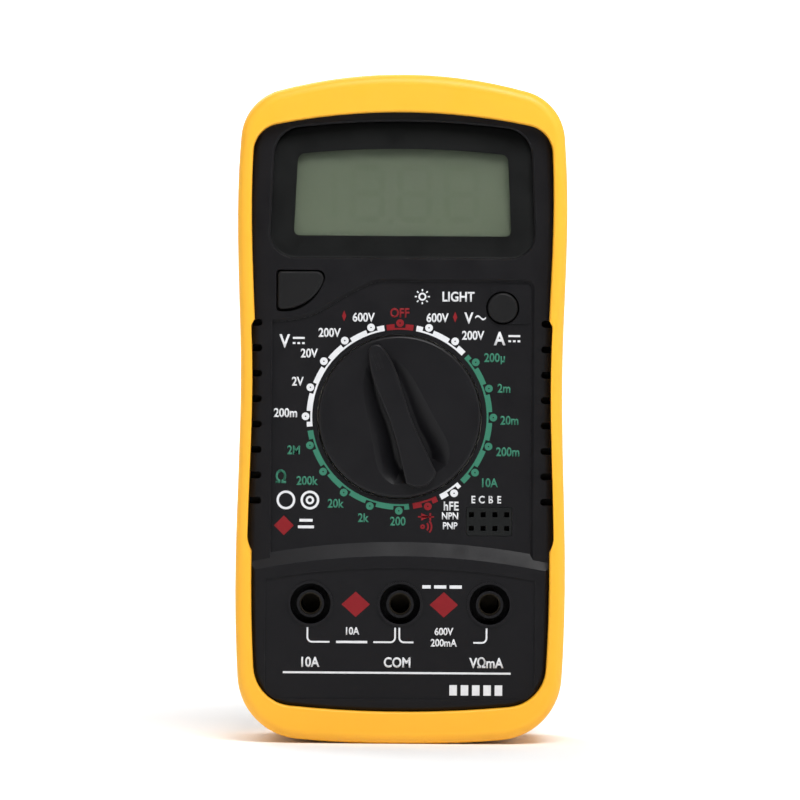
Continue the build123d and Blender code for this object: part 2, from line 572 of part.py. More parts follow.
# =================================================================== tilt stand
with BuildPart() as tilt_stand:
    with BuildSketch(facing(STAND_OUTER_Y)) as stand_plate:
        with BuildLine():
            Polyline(
                (-STAND_HALF, STAND_HINGE_Z),
                (STAND_HALF, STAND_HINGE_Z),
                (STAND_HALF - 2.5, STAND_LOW_Z),
                (2.5 - STAND_HALF, STAND_LOW_Z),
                close=True,
            )
        make_face()
        fillet(stand_plate.vertices().group_by(Axis.Y)[0], 5.0)
    slab(stand_plate.sketch, STAND_OUTER_Y, STAND_INNER_Y)
    fillet(tilt_stand.edges().group_by(Axis.Y)[-1].sort_by(Axis.Z)[:-1], 0.5)
    # sunken field with cross ribs
    slab(panel(STAND_OUTER_Y, 0, 82.0, 28.0, 62.0, 3.0), STAND_OUTER_Y, STAND_OUTER_Y - 0.6, Mode.SUBTRACT)
    with BuildSketch(facing(STAND_OUTER_Y - 0.15, 0, 82.0)) as stand_ribs:
        with GridLocations(0, 4.0, 1, 13):
            SlotOverall(22.0, 1.4)
    slab(stand_ribs.sketch, STAND_OUTER_Y - 0.15, STAND_OUTER_Y - 0.65)
    extrude(hinge_disc(-STAND_HALF, STAND_BARREL_R), amount=2 * STAND_HALF)
    pin_reach = STAND_HALF + 0.4 + EAR_WIDTH - 0.2
    extrude(hinge_disc(-pin_reach, STAND_PIN_R), amount=2 * pin_reach)
finish_piece(tilt_stand, "tilt_stand")

# ====================================================================== display
MASK_Y = LENS_SEAT_Y - MASK_THICKNESS  # front of the printed mask, behind the window

with BuildPart() as lcd_window:
    slab(lens_outline(MASK_Y, 0.1), MASK_Y, LENS_Y)
    chamfer(lcd_window.edges().group_by(Axis.Y)[0], 0.2)
finish_piece(lcd_window, "lcd_window")

with BuildPart() as window_mask:
    slab(lens_outline(LENS_SEAT_Y, 0.1), LENS_SEAT_Y, MASK_Y)
    slab(view_outline(LENS_SEAT_Y), LENS_SEAT_Y, MASK_Y, Mode.SUBTRACT)
finish_piece(window_mask, "window_mask")

with BuildPart() as lcd_panel:
    slab(panel(LCD_BACK_Y, 0, LCD_MIDDLE_Z, 2 * LCD_HALF, LCD_HEIGHT), LCD_BACK_Y, LCD_FRONT_Y)
    chamfer(lcd_panel.edges().group_by(Axis.Y)[0], 0.3)
finish_piece(lcd_panel, "lcd_panel")

with BuildPart() as lcd_frame:
    hole_width = 2 * (LCD_HALF + FRAME_CLEARANCE)
    hole_height = LCD_HEIGHT + 2 * FRAME_CLEARANCE
    for width, height, corner, mode in (
        (hole_width + 2 * FRAME_WALL, hole_height + 2 * FRAME_WALL, 2.5, Mode.ADD),
        (hole_width, hole_height, 0, Mode.SUBTRACT),
    ):
        outline = panel(BOARD_FRONT_Y, 0, LCD_MIDDLE_Z, width, height, corner)
        slab(outline, BOARD_FRONT_Y, INNER_Y, mode)
finish_piece(lcd_frame, "lcd_frame")

with BuildPart() as backlight_diffuser:
    slab(panel(-7.0, 0, LIGHT_PLATE_Z, *LIGHT_PLATE, 0.8), -7.0, -8.8)
finish_piece(backlight_diffuser, "backlight_diffuser")

with BuildPart() as backlight_leds:
    for x in (-24.4, 24.4):
        slab(panel(BOARD_FRONT_Y, x, LIGHT_PLATE_Z, 1.5, 3.6), BOARD_FRONT_Y, -8.6)
finish_piece(backlight_leds, "backlight_leds")

with BuildPart() as zebra_strip:
    slab(panel(BOARD_FRONT_Y, 0, 106.4, 46.0, 1.8), BOARD_FRONT_Y, LCD_BACK_Y)
finish_piece(zebra_strip, "zebra_strip")

# ========================================================= keys and their switches
HOLD_X = (HOLD_LEFT + HOLD_RIGHT) / 2 - 0.6
HOLD_Z = (HOLD_LOW + HOLD_HIGH) / 2 + 0.3

with BuildPart() as hold_button:
    slab(hold_outline(KEY_FLANGE_BACK_Y), KEY_FLANGE_BACK_Y, HOLD_Y)
    fillet(hold_button.edges().group_by(Axis.Y)[0], 0.5)
    slab(hold_outline(KEY_FLANGE_BACK_Y, KEY_FLANGE), KEY_FLANGE_BACK_Y, KEY_FLANGE_FRONT_Y)
finish_piece(hold_button, "hold_button")

with BuildPart() as backlight_button:
    slab(disc(KEY_FLANGE_BACK_Y, LIGHT_X, LIGHT_Z, LIGHT_R), KEY_FLANGE_BACK_Y, LIGHT_Y)
    fillet(backlight_button.edges().group_by(Axis.Y)[0], 0.5)
    flange_r = LIGHT_R + KEY_FLANGE
    slab(disc(KEY_FLANGE_BACK_Y, LIGHT_X, LIGHT_Z, flange_r), KEY_FLANGE_BACK_Y, KEY_FLANGE_FRONT_Y)
finish_piece(backlight_button, "backlight_button")


def switch_body(x, z):
    """Case of a small push switch, with a blind hole for its plunger."""
    with BuildPart() as body:
        slab(panel(BOARD_FRONT_Y, x, z, 6.2, 6.2, 0.5), BOARD_FRONT_Y, SWITCH_FRONT_Y)
        hole_floor_y = BOARD_FRONT_Y - 0.25
        slab(disc(hole_floor_y, x, z, PLUNGER_R + 0.05), hole_floor_y, SWITCH_FRONT_Y, Mode.SUBTRACT)
    return body


def switch_plunger(x, z):
    """Plunger of a push switch; it moves with the key that rests on it."""
    inner_end_y = SWITCH_FRONT_Y + 0.7
    with BuildPart() as plunger:
        slab(disc(inner_end_y, x, z, PLUNGER_R), inner_end_y, KEY_FLANGE_BACK_Y)
        chamfer(plunger.edges().group_by(Axis.Y)[-1], 0.2)
    return plunger


for switch_name, x, z in (("hold", HOLD_X, HOLD_Z), ("light", LIGHT_X, LIGHT_Z)):
    finish_piece(switch_body(x, z), f"{switch_name}_switch_body")
    finish_piece(switch_plunger(x, z), f"{switch_name}_switch_plunger")


# ======================================================= selector knob and rotor
def knob_plane(y):
    """A plane at depth y on the knob's axis; its local +Y is where the grip points."""
    angle = radians(POINTER_ANGLE)
    return Plane(origin=(KNOB_X, y, KNOB_Z), x_dir=(cos(angle), 0, sin(angle)), z_dir=(0, -1, 0))


def mirrored_profile(plane, right_side, ends):
    """A closed shape from one curved side, its mirror image and an arc at each end."""
    left_side = [(-x, z) for x, z in right_side]
    top, bottom = ends
    with BuildSketch(plane) as profile:
        with BuildLine():
            Spline(*right_side)
            Spline(*left_side)
            ThreePointArc(left_side[0], (0, top), right_side[0])
            ThreePointArc(left_side[-1], (0, bottom), right_side[-1])
        make_face()
    return profile.sketch


with BuildPart() as finger_scoops:
    floor_plane = knob_plane(KNOB_FACE_Y + SCOOP_DEPTH).rotated((SCOOP_TILT, 0, 0))
    scoop_floor = mirrored_profile(floor_plane, SCOOP_FLOOR_SIDE, SCOOP_FLOOR_ENDS)
    rim_plane = knob_plane(KNOB_FACE_Y - SCOOP_RISE)
    scoop_rim = mirrored_profile(rim_plane, SCOOP_RIM_SIDE, SCOOP_RIM_ENDS)
    loft(sections=[scoop_floor.faces()[0], scoop_rim.faces()[0]], ruled=True)
    fillet(finger_scoops.faces().sort_by(Axis.Y)[-1].edges(), 0.9)

with BuildPart() as selector_knob:
    slab(disc(KNOB_BACK_Y, KNOB_X, KNOB_Z, KNOB_R), KNOB_BACK_Y, KNOB_FACE_Y)
    fillet(selector_knob.edges().group_by(Axis.Y)[0], 0.7)
    add(finger_scoops.part, mode=Mode.SUBTRACT)
    slab(mirrored_profile(knob_plane(KNOB_BACK_Y), GRIP_SIDE, GRIP_ENDS), KNOB_BACK_Y, GRIP_Y)
    fillet(selector_knob.edges().group_by(Axis.Y)[0], 0.45)
    # three fine ribs on the grip's narrow end
    with BuildSketch(knob_plane(GRIP_Y)) as tip_ribs:
        with Locations((-0.5, 12.6)):
            with GridLocations(TIP_RIB_PITCH, 0, 3, 1):
                SlotOverall(TIP_RIB_LENGTH, TIP_RIB_WIDTH, rotation=90)
    extrude(tip_ribs.sketch, amount=0.12)
finish_piece(selector_knob, "selector_knob")

BALL_SIDES = (1, -1)  # one ball above the knob's axis and one below, each in a notch


def ball_plane(side, radius):
    """A plane across one of the two ball pockets, facing away from the knob's axis."""
    return Plane(origin=(KNOB_X, BALL_Y, KNOB_Z + side * radius), x_dir=(1, 0, 0), z_dir=(0, 0, side))


with BuildPart() as switch_rotor:
    slab(disc(ROTOR_BACK_Y, KNOB_X, KNOB_Z, ROTOR_R), ROTOR_BACK_Y, KNOB_BACK_Y)
    slab(disc(SPINDLE_END_Y, KNOB_X, KNOB_Z, SPINDLE_R), SPINDLE_END_Y, ROTOR_BACK_Y)
    for side in BALL_SIDES:
        with BuildSketch(ball_plane(side, POCKET_FLOOR_R)) as pocket:
            Circle(POCKET_R)
        extrude(pocket.sketch, amount=ROTOR_R - POCKET_FLOOR_R + 1.0, mode=Mode.SUBTRACT)
finish_piece(switch_rotor, "switch_rotor")

with BuildPart() as detent_balls:
    for side in BALL_SIDES:
        with Locations((KNOB_X, BALL_Y, KNOB_Z + side * BALL_CENTRE_R)):
            Sphere(BALL_R)
finish_piece(detent_balls, "detent_balls")


def detent_spring(side):
    """A small coil spring that pushes a ball outwards."""
    wire_r, coil_r, coils = 0.14, 0.72, 6
    start_r = POCKET_FLOOR_R + wire_r + 0.02
    length = BALL_CENTRE_R - BALL_R - wire_r - start_r - 0.15
    with BuildPart() as spring:
        with BuildLine() as coil:
            Helix(
                pitch=length / coils,
                height=length,
                radius=coil_r,
                center=(KNOB_X, BALL_Y, KNOB_Z + side * start_r),
                direction=(0, 0, side),
            )
        with BuildSketch(Plane(origin=coil.line @ 0, z_dir=coil.line % 0)):
            Circle(wire_r)
        sweep(is_frenet=True)
    return spring.part


detent_spring_list = [detent_spring(side) for side in BALL_SIDES]
with BuildPart() as detent_springs:
    add(detent_spring_list)
finish_piece(detent_springs, "detent_springs")


def wiper(radius, angle):
    """A bowed contact strip on the rotor's back; it all but touches the board."""
    a = radians(angle)
    outward = (cos(a), 0, sin(a))
    plane = Plane(
        origin=(KNOB_X + radius * cos(a), 0, KNOB_Z + radius * sin(a)),
        x_dir=(-sin(a), 0, cos(a)),
        z_dir=outward,
    )
    seat, reach, thickness, half = -ROTOR_BACK_Y, -BOARD_FRONT_Y + 0.06, 0.2, 2.2
    with BuildPart() as strip:
        with BuildSketch(plane):
            with BuildLine():
                ThreePointArc((-half, seat), (0, reach), (half, seat))
                ThreePointArc((thickness - half, seat), (0, reach + thickness), (half - thickness, seat))
                Line((-half, seat), (thickness - half, seat))
                Line((half, seat), (half - thickness, seat))
            make_face()
        extrude(amount=0.6, both=True)
    return strip.part


wiper_list = [wiper(radius, angle) for radius in WIPER_RADII for angle in (20.0, 200.0)]
with BuildPart() as rotor_contacts:
    add(wiper_list)
finish_piece(rotor_contacts, "rotor_contacts")

# =============================================================== circuit board
with BuildPart() as circuit_board:
    board_middle_z = (BOARD_LOW_Z + BOARD_HIGH_Z) / 2
    board_height = BOARD_HIGH_Z - BOARD_LOW_Z
    slab(
        panel(BOARD_BACK_Y, 0, board_middle_z, 2 * BOARD_HALF, board_height, 6.0),
        BOARD_BACK_Y,
        BOARD_FRONT_Y,
    )
    holes = [(KNOB_X, KNOB_Z, SPINDLE_R + 0.06)]
    holes += [(x, JACK_Z, JACK_TUBE_R + 0.05) for x in JACK_X]
    holes += [(x, z, 1.1) for x, z in BOARD_SCREWS]
    holes += [(x, CASE_SCREW_Z, 4.6) for x in (-CASE_SCREW_X, CASE_SCREW_X)]
    for x, z, radius in holes:
        slab(disc(BOARD_BACK_Y, x, z, radius), BOARD_BACK_Y, BOARD_FRONT_Y, Mode.SUBTRACT)
    with BuildSketch(facing(BOARD_BACK_Y, SOCKET_X, SOCKET_Z)) as pin_holes:
        with GridLocations(SOCKET_PITCH_X, SOCKET_PITCH_Z, 4, 2):
            Rectangle(SOCKET_PIN + 0.2, SOCKET_PIN + 0.2)
    slab(pin_holes.sketch, BOARD_BACK_Y, BOARD_FRONT_Y, Mode.SUBTRACT)
finish_piece(circuit_board, "circuit_board")

# ============================================================ transistor socket
def socket_grid(y, size):
    """Two rows of four square holes or pins."""
    with BuildSketch(facing(y, SOCKET_X, SOCKET_Z)) as grid:
        with GridLocations(SOCKET_PITCH_X, SOCKET_PITCH_Z, 4, 2):
            Rectangle(size, size)
    return grid.sketch


with BuildPart() as transistor_socket:
    slab(
        panel(BOARD_FRONT_Y, SOCKET_X, SOCKET_Z, SOCKET_WIDTH - 0.2, SOCKET_HEIGHT - 0.2, 0.5),
        BOARD_FRONT_Y,
        DIAL_Y - 0.1,
    )
    slab(socket_grid(SOCKET_FLOOR_Y, SOCKET_HOLE), SOCKET_FLOOR_Y, LIP_Y, Mode.SUBTRACT)
    slab(socket_grid(BOARD_FRONT_Y, SOCKET_PIN), BOARD_FRONT_Y, LIP_Y, Mode.SUBTRACT)
finish_piece(transistor_socket, "transistor_socket")

with BuildPart() as socket_contacts:
    slab(socket_grid(BOARD_BACK_Y, SOCKET_PIN), BOARD_BACK_Y, SOCKET_FLOOR_Y)
finish_piece(socket_contacts, "socket_contacts")

# ================================================================== input jacks
for jack_name, x in zip(JACK_NAMES, JACK_X):
    with BuildPart() as jack:
        slab(disc(JACK_END_Y, x, JACK_Z, JACK_TUBE_R), JACK_END_Y, JACK_FRONT_Y)
        slab(disc(BOARD_BACK_Y + 0.6, x, JACK_Z, 3.6), BOARD_BACK_Y + 0.6, BOARD_BACK_Y)
        slab(disc(JACK_FLOOR_Y, x, JACK_Z, JACK_BORE_R), JACK_FLOOR_Y, LIP_Y, Mode.SUBTRACT)
    finish_piece(jack, jack_name)


# ========================================================================= fuse
def across(x, y=FUSE_Y, z=FUSE_Z):
    """A plane that faces along +X, for round parts that lie across the case."""
    return Plane(origin=(x, y, z), x_dir=(0, 1, 0), z_dir=(1, 0, 0))


def ring_across(x, y, z, outer_r, inner_r):
    """A ring that faces along +X; a full circle when inner_r is zero."""
    with BuildSketch(across(x, y, z)) as ring:
        Circle(outer_r)
        if inner_r:
            Circle(inner_r, mode=Mode.SUBTRACT)
    return ring.sketch


TUBE_R, CAP_R, CAP_LENGTH = 2.4, 2.6, 5.6

with BuildPart() as fuse_tube:
    extrude(ring_across(0.3 - FUSE_LENGTH / 2, FUSE_Y, FUSE_Z, TUBE_R, 1.9), amount=FUSE_LENGTH - 0.6)
finish_piece(fuse_tube, "fuse_tube")

with BuildPart() as fuse_caps:
    for side in (-1, 1):
        end_x = side * FUSE_LENGTH / 2
        extrude(ring_across(end_x, FUSE_Y, FUSE_Z, CAP_R, 0), amount=-side * CAP_LENGTH)
        extrude(
            ring_across(end_x - side * 0.3, FUSE_Y, FUSE_Z, TUBE_R, 0),
            amount=-side * CAP_LENGTH,
            mode=Mode.SUBTRACT,
        )
finish_piece(fuse_caps, "fuse_caps")

with BuildPart() as fuse_clips:
    for clip_x in (-9.2, 5.4):
        with BuildSketch(across(clip_x)) as clip:
            Circle(CAP_R + 0.35)
            Circle(CAP_R, mode=Mode.SUBTRACT)
            with Locations((2.4, 0)):
                Rectangle(2.2, 3.0, mode=Mode.SUBTRACT)
            with Locations((BOARD_BACK_Y - FUSE_Y + 0.25, 0)):
                Rectangle(0.5, 4.0)
        extrude(clip.sketch, amount=3.8)
finish_piece(fuse_clips, "fuse_clips")

# ============================================================ battery and leads
BATTERY_END_X = BATTERY_X + BATTERY_LENGTH / 2
SNAP_X, SNAP_THICKNESS = BATTERY_END_X + 3.0, 1.4

with BuildPart() as battery:
    with Locations((BATTERY_X, BATTERY_Y, BATTERY_Z)):
        Box(BATTERY_LENGTH, BATTERY_DEPTH, BATTERY_HEIGHT)
    fillet(battery.edges().filter_by(Axis.X), 2.5)
    chamfer(battery.faces().sort_by(Axis.X)[0].edges(), 0.4)
finish_piece(battery, "battery")

with BuildPart() as battery_terminals:
    stud_z, socket_z = BATTERY_Z + TERMINAL_OFFSET, BATTERY_Z - TERMINAL_OFFSET
    extrude(ring_across(BATTERY_END_X, BATTERY_Y, stud_z, 2.8, 0), amount=2.6)
    extrude(ring_across(BATTERY_END_X, BATTERY_Y, socket_z, 4.1, 3.0), amount=2.6)
finish_piece(battery_terminals, "battery_terminals")

with BuildPart() as battery_snap:
    with Locations((SNAP_X + SNAP_THICKNESS / 2, BATTERY_Y, BATTERY_Z)):
        Box(SNAP_THICKNESS, 13.0, 25.0)
    fillet(battery_snap.edges().filter_by(Axis.X), 4.0)
    extrude(ring_across(SNAP_X, BATTERY_Y, stud_z, 4.1, 3.0), amount=-2.4)
    extrude(ring_across(SNAP_X, BATTERY_Y, socket_z, 2.8, 0), amount=-2.6)
finish_piece(battery_snap, "battery_snap")


def bend_radii(route):
    """The largest bend at each corner that still leaves a straight stretch each side."""
    points = [Vector(*point) for point in route]
    radii = []
    for before, corner, after in zip(points, points[1:], points[2:]):
        run_in, run_out = corner - before, after - corner
        half_turn = radians(run_in.get_angle(run_out) / 2)
        shorter_run = min(run_in.length, run_out.length)
        radii.append(0.45 * shorter_run * cos(half_turn) / sin(half_turn))
    return radii


def wire(route, radius):
    """A round wire along straight runs joined by arcs."""
    radii = bend_radii(route)
    print("bend radii", [round(bend, 1) for bend in radii])
    with BuildPart() as one_wire:
        with BuildLine() as path:
            FilletPolyline(*route, radius=radii)
        with BuildSketch(Plane(origin=path.line @ 0, z_dir=path.line % 0)):
            Circle(radius)
        sweep()
    return one_wire


finish_piece(wire(RED_ROUTE, LEAD_R), "red_lead")
finish_piece(wire(BLACK_ROUTE, LEAD_R), "black_lead")
finish_piece(wire(SHUNT_ROUTE, 0.75), "shunt_wire")

# ================================================= small parts on the board's back
with BuildPart() as buzzer:
    slab(disc(BOARD_BACK_Y + 4.0, 0, 86.0, 8.0), BOARD_BACK_Y + 4.0, BOARD_BACK_Y)
    fillet(buzzer.edges().group_by(Axis.Y)[-1], 0.8)
    slab(disc(BOARD_BACK_Y + 4.0, 0, 86.0, 1.0), BOARD_BACK_Y + 4.0, BOARD_BACK_Y + 2.5, Mode.SUBTRACT)
finish_piece(buzzer, "buzzer")

with BuildPart() as chip_cover:
    slab(disc(BOARD_BACK_Y + 1.8, 0, 118.0, 5.5), BOARD_BACK_Y + 1.8, BOARD_BACK_Y)
    fillet(chip_cover.edges().group_by(Axis.Y)[-1], 1.6)
finish_piece(chip_cover, "chip_cover")

TRIMMER_X, TRIMMER_Z, TRIMMER_TOP_Y = 12.0, 76.0, BOARD_BACK_Y + 4.5

with BuildPart() as trimmer:
    slab(panel(TRIMMER_TOP_Y, TRIMMER_X, TRIMMER_Z, 6.5, 6.5, 0.4), TRIMMER_TOP_Y, BOARD_BACK_Y)
    screw_hole = disc(TRIMMER_TOP_Y, TRIMMER_X, TRIMMER_Z, 1.7)
    slab(screw_hole, TRIMMER_TOP_Y, TRIMMER_TOP_Y - 1.5, Mode.SUBTRACT)
finish_piece(trimmer, "trimmer")

with BuildPart() as trimmer_screw:
    slab(disc(TRIMMER_TOP_Y, TRIMMER_X, TRIMMER_Z, 1.6), TRIMMER_TOP_Y, TRIMMER_TOP_Y - 1.5)
    slot = panel(TRIMMER_TOP_Y, TRIMMER_X, TRIMMER_Z, 2.4, 0.5)
    slab(slot, TRIMMER_TOP_Y, TRIMMER_TOP_Y - 0.6, Mode.SUBTRACT)
finish_piece(trimmer_screw, "trimmer_screw")


def axial_part(x, z, body_r, body_length, lead_span):
    """A resistor or diode along +Z, with its two leads bent down to the board."""
    axis_y = BOARD_BACK_Y + body_r + 0.3
    half_span = lead_span / 2
    lead_route = (
        (x, BOARD_BACK_Y, z - half_span),
        (x, axis_y, z - half_span),
        (x, axis_y, z + half_span),
        (x, BOARD_BACK_Y, z + half_span),
    )
    with BuildPart() as part:
        with BuildLine() as path:
            FilletPolyline(*lead_route, radius=0.6)
        with BuildSketch(Plane(origin=path.line @ 0, z_dir=path.line % 0)):
            Circle(0.25)
        sweep()
        with Locations((x, axis_y, z)):
            Cylinder(body_r, body_length)
    return part.part


resistor_list = [axial_part(-17.5 + 5.0 * i, 105.5, 1.1, 6.0, 8.6) for i in range(8)]
with BuildPart() as resistors:
    add(resistor_list)
finish_piece(resistors, "resistors")

diode_list = [axial_part(-23.0 + 3.6 * i, 82.0, 0.9, 3.6, 6.4) for i in range(4)]
with BuildPart() as diodes:
    add(diode_list)
finish_piece(diodes, "diodes")

with BuildPart() as capacitors:
    for x in (-18.0, -10.0, 10.0):
        slab(panel(BOARD_BACK_Y + 6.0, x, 120.0, 6.0, 3.2, 0.4), BOARD_BACK_Y + 6.0, BOARD_BACK_Y)
    slab(disc(BOARD_BACK_Y + 7.0, 19.0, 119.0, 3.0), BOARD_BACK_Y + 7.0, BOARD_BACK_Y)
finish_piece(capacitors, "capacitors")
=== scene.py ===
from math import cos, pi, radians, sin

import bmesh
import bpy
from mathutils import Matrix, Vector


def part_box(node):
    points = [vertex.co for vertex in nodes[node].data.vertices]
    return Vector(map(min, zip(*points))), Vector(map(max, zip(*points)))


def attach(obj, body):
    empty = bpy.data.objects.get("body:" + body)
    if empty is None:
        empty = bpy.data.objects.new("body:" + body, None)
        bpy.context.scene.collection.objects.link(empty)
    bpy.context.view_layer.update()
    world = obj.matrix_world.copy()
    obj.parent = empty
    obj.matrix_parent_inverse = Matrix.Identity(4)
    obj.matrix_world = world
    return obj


# The looks of a hand-held digital multimeter: materials for its CAD pieces, the
# printed marks, the faint digits of the display, and a plain studio round it.
# Blender's places and sizes are in metres, in the frame of the CAD model. Those of
# the printed marks are in millimetres: x to the right, y to the back, z up.

MM = 0.001

# ------------------------------------------------------------------ the camera
CAMERA_DISTANCE = 0.90
CAMERA_AIM = Vector((-0.3 * MM, 0, 72.9 * MM))
FRAME_WIDTH = 169.4 * MM  # what the picture spans at the front of the meter
CAMERA_ROLL = radians(0.4)
SENSOR = 36.0  # millimetres, as Blender takes it
CLIP_START = 0.01

# ------------------------------------------------------- the surfaces of the front
DIAL_Y = -13.2  # the dial panel
DECK_Y = -14.9  # the panel for the jack marks
PRINT_DEPTH = 0.04  # thickness of a printed mark
SEGMENT_DEPTH = 0.01  # thickness of a segment of the display

# ------------------------------------------------------------------ linear colours
WHITE_INK = (0.66, 0.67, 0.69)
GREEN_INK = (0.035, 0.175, 0.112)
RED_INK = (0.2, 0.009, 0.013)
BLACK_PLASTIC = (0.0058, 0.0056, 0.0068)
KEY_RUBBER = (0.0065, 0.0065, 0.007)
YELLOW_RUBBER = (0.9, 0.425, 0.017)
DARK_NYLON = (0.02, 0.02, 0.02)
PLUNGER_RED = (0.35, 0.03, 0.02)
# the display's film: its colour at the lower edge, and a darker, painted shade at the upper edge
LCD_LOWER, LCD_UPPER_PAINTED_SHADE = (0.105, 0.127, 0.082), (0.088, 0.108, 0.07)
LCD_CLOUDS = (0.096, 0.114, 0.08)
SEGMENT_GREEN = (0.091, 0.111, 0.073)

# ---------------------------------------------------- patterns that surfaces share
TONE_DETAIL, GLOSS_DETAIL, GRAIN_DETAIL, WEAR_DETAIL = 4.0, 5.0, 3.0, 3.0
NOISE_LOW, NOISE_HIGH = 0.3, 0.7  # what a noise pattern mostly spans
GLOSS_SCALE = 160.0  # patches of more and of less gloss, per metre
WEAR_SCALE = 420.0  # patches of more and of less wear, per metre
WEAR_FROM, WEAR_TO, WEAR_LEAST = 0.35, 0.7, 0.2  # the noise's span, and the wear at its foot
WEAR_RAISE, WEAR_GAIN = 0.02, 2.6  # a worn edge is paler than its surface
EDGE_AGREEMENT = 0.86  # dot product of the true and the rounded normal on a sharp edge
BUMP_STRENGTH = 0.6

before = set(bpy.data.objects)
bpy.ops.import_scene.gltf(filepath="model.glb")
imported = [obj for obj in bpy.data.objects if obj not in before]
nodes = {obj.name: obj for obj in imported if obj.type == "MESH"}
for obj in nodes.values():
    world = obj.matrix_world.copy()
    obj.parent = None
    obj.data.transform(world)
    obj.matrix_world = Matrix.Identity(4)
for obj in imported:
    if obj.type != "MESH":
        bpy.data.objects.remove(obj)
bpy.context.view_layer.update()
knob_low, knob_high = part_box("selector_knob")
KNOB_X = (knob_low.x + knob_high.x) / 2 / MM
KNOB_Z = (knob_low.z + knob_high.z) / 2 / MM
scene = bpy.context.scene
scene.view_settings.view_transform = "Standard"


# ================================================================= the camera
def make_camera():
    camera_data = bpy.data.cameras.new("camera")
    camera = bpy.data.objects.new("camera", camera_data)
    scene.collection.objects.link(camera)
    front_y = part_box("holster")[0].y
    camera_data.sensor_width = SENSOR
    camera_data.lens = SENSOR * (CAMERA_DISTANCE + front_y) / FRAME_WIDTH
    camera_data.clip_start = CLIP_START
    camera.location = CAMERA_AIM + Vector((0, -CAMERA_DISTANCE, 0))
    camera.rotation_mode = "XYZ"
    camera.rotation_euler = (pi / 2, -CAMERA_ROLL, 0)
    scene.camera = camera


make_camera()


# =================================================================== materials
def add_node(tree, kind, inputs=None, **settings):
    """Adds a shader node; each input is a number, a colour, or a socket to link."""
    node = tree.nodes.new("ShaderNode" + kind)
    for key, value in settings.items():
        setattr(node, key, value)
    for key, value in (inputs or {}).items():
        if isinstance(value, bpy.types.NodeSocket):
            tree.links.new(value, node.inputs[key])
        elif isinstance(value, tuple) and len(value) == 3 and node.inputs[key].type == "RGBA":
            node.inputs[key].default_value = (*value, 1.0)
        else:
            node.inputs[key].default_value = value
    return node


def scaled(colour, factor):
    return tuple(min(1.0, channel * factor) for channel in colour)


def noise(tree, scale, detail=2.0):
    """A noise pattern fixed to the object; scale is in features per metre."""
    vector = add_node(tree, "TexCoord").outputs["Object"]
    pattern = add_node(tree, "TexNoise", {"Vector": vector, "Scale": scale, "Detail": detail})
    return pattern.outputs["Fac"]


def remap(tree, value, low, high, out_low, out_high):
    return add_node(
        tree,
        "MapRange",
        {"Value": value, "From Min": low, "From Max": high, "To Min": out_low, "To Max": out_high},
    ).outputs["Result"]


def mix_colours(tree, factor, first, second):
    mix = tree.nodes.new("ShaderNodeMix")
    mix.data_type = "RGBA"
    # a colour mix uses these sockets of the node; the rest are for numbers and vectors
    sockets = [mix.inputs[0], mix.inputs[6], mix.inputs[7]]
    for socket, value in zip(sockets, (factor, first, second)):
        if isinstance(value, bpy.types.NodeSocket):
            tree.links.new(value, socket)
        elif isinstance(value, tuple):
            socket.default_value = (*value, 1.0)
        else:
            socket.default_value = value
    return mix.outputs[2]


def edge_mask(tree, width):
    """1 on convex and concave edges, 0 on flat stretches."""
    rounded = add_node(tree, "Bevel", {"Radius": width * MM}, samples=4).outputs["Normal"]
    flat = add_node(tree, "NewGeometry").outputs["Normal"]
    agreement = add_node(
        tree, "VectorMath", {0: rounded, 1: flat}, operation="DOT_PRODUCT"
    ).outputs["Value"]
    return remap(tree, agreement, 1.0, EDGE_AGREEMENT, 0.0, 1.0)


SHADER_SOCKETS = {
    "metallic": "Metallic",
    "specular_ior_level": "Specular IOR Level",
    "subsurface_weight": "Subsurface Weight",
}


def surface(
    name,
    base,
    roughness=0.5,
    roughness_spread=0.08,
    mottle=0.1,
    mottle_scale=70.0,
    grain=3200.0,
    grain_depth=0.012,
    wear=0.0,
    wear_width=0.35,
    **shader_values,
):
    """A moulded, painted or metal surface with fine grain, uneven tone and worn edges.

    base is its colour, or a function that makes a pattern of colours in the node tree.
    """
    material = bpy.data.materials.new(name)
    material.use_nodes = True
    tree = material.node_tree
    shader = tree.nodes["Principled BSDF"]
    if callable(base):
        colour = base(tree)
    else:
        cloud = noise(tree, mottle_scale, TONE_DETAIL)
        colour = mix_colours(tree, cloud, scaled(base, 1.0 - mottle), scaled(base, 1.0 + mottle))
    if wear:
        patches = noise(tree, WEAR_SCALE, WEAR_DETAIL)
        patchy = remap(tree, patches, WEAR_FROM, WEAR_TO, WEAR_LEAST, 1.0)
        worn = add_node(
            tree, "Math", {0: edge_mask(tree, wear_width), 1: patchy}, operation="MULTIPLY"
        ).outputs["Value"]
        worn = add_node(tree, "Math", {0: worn, 1: wear}, operation="MULTIPLY").outputs["Value"]
        worn_base = tuple(channel + WEAR_RAISE for channel in base)
        colour = mix_colours(tree, worn, colour, scaled(worn_base, WEAR_GAIN))
    tree.links.new(colour, shader.inputs["Base Color"])
    rough = remap(
        tree, noise(tree, GLOSS_SCALE, GLOSS_DETAIL), NOISE_LOW, NOISE_HIGH,
        roughness - roughness_spread, roughness + roughness_spread,
    )
    tree.links.new(rough, shader.inputs["Roughness"])
    fine = noise(tree, grain, GRAIN_DETAIL)
    bump = add_node(tree, "Bump", {"Height": fine, "Distance": grain_depth * MM})
    bump.inputs["Strength"].default_value = BUMP_STRENGTH
    tree.links.new(bump.outputs["Normal"], shader.inputs["Normal"])
    for socket_name, value in shader_values.items():
        shader.inputs[SHADER_SOCKETS[socket_name]].default_value = value
    return material


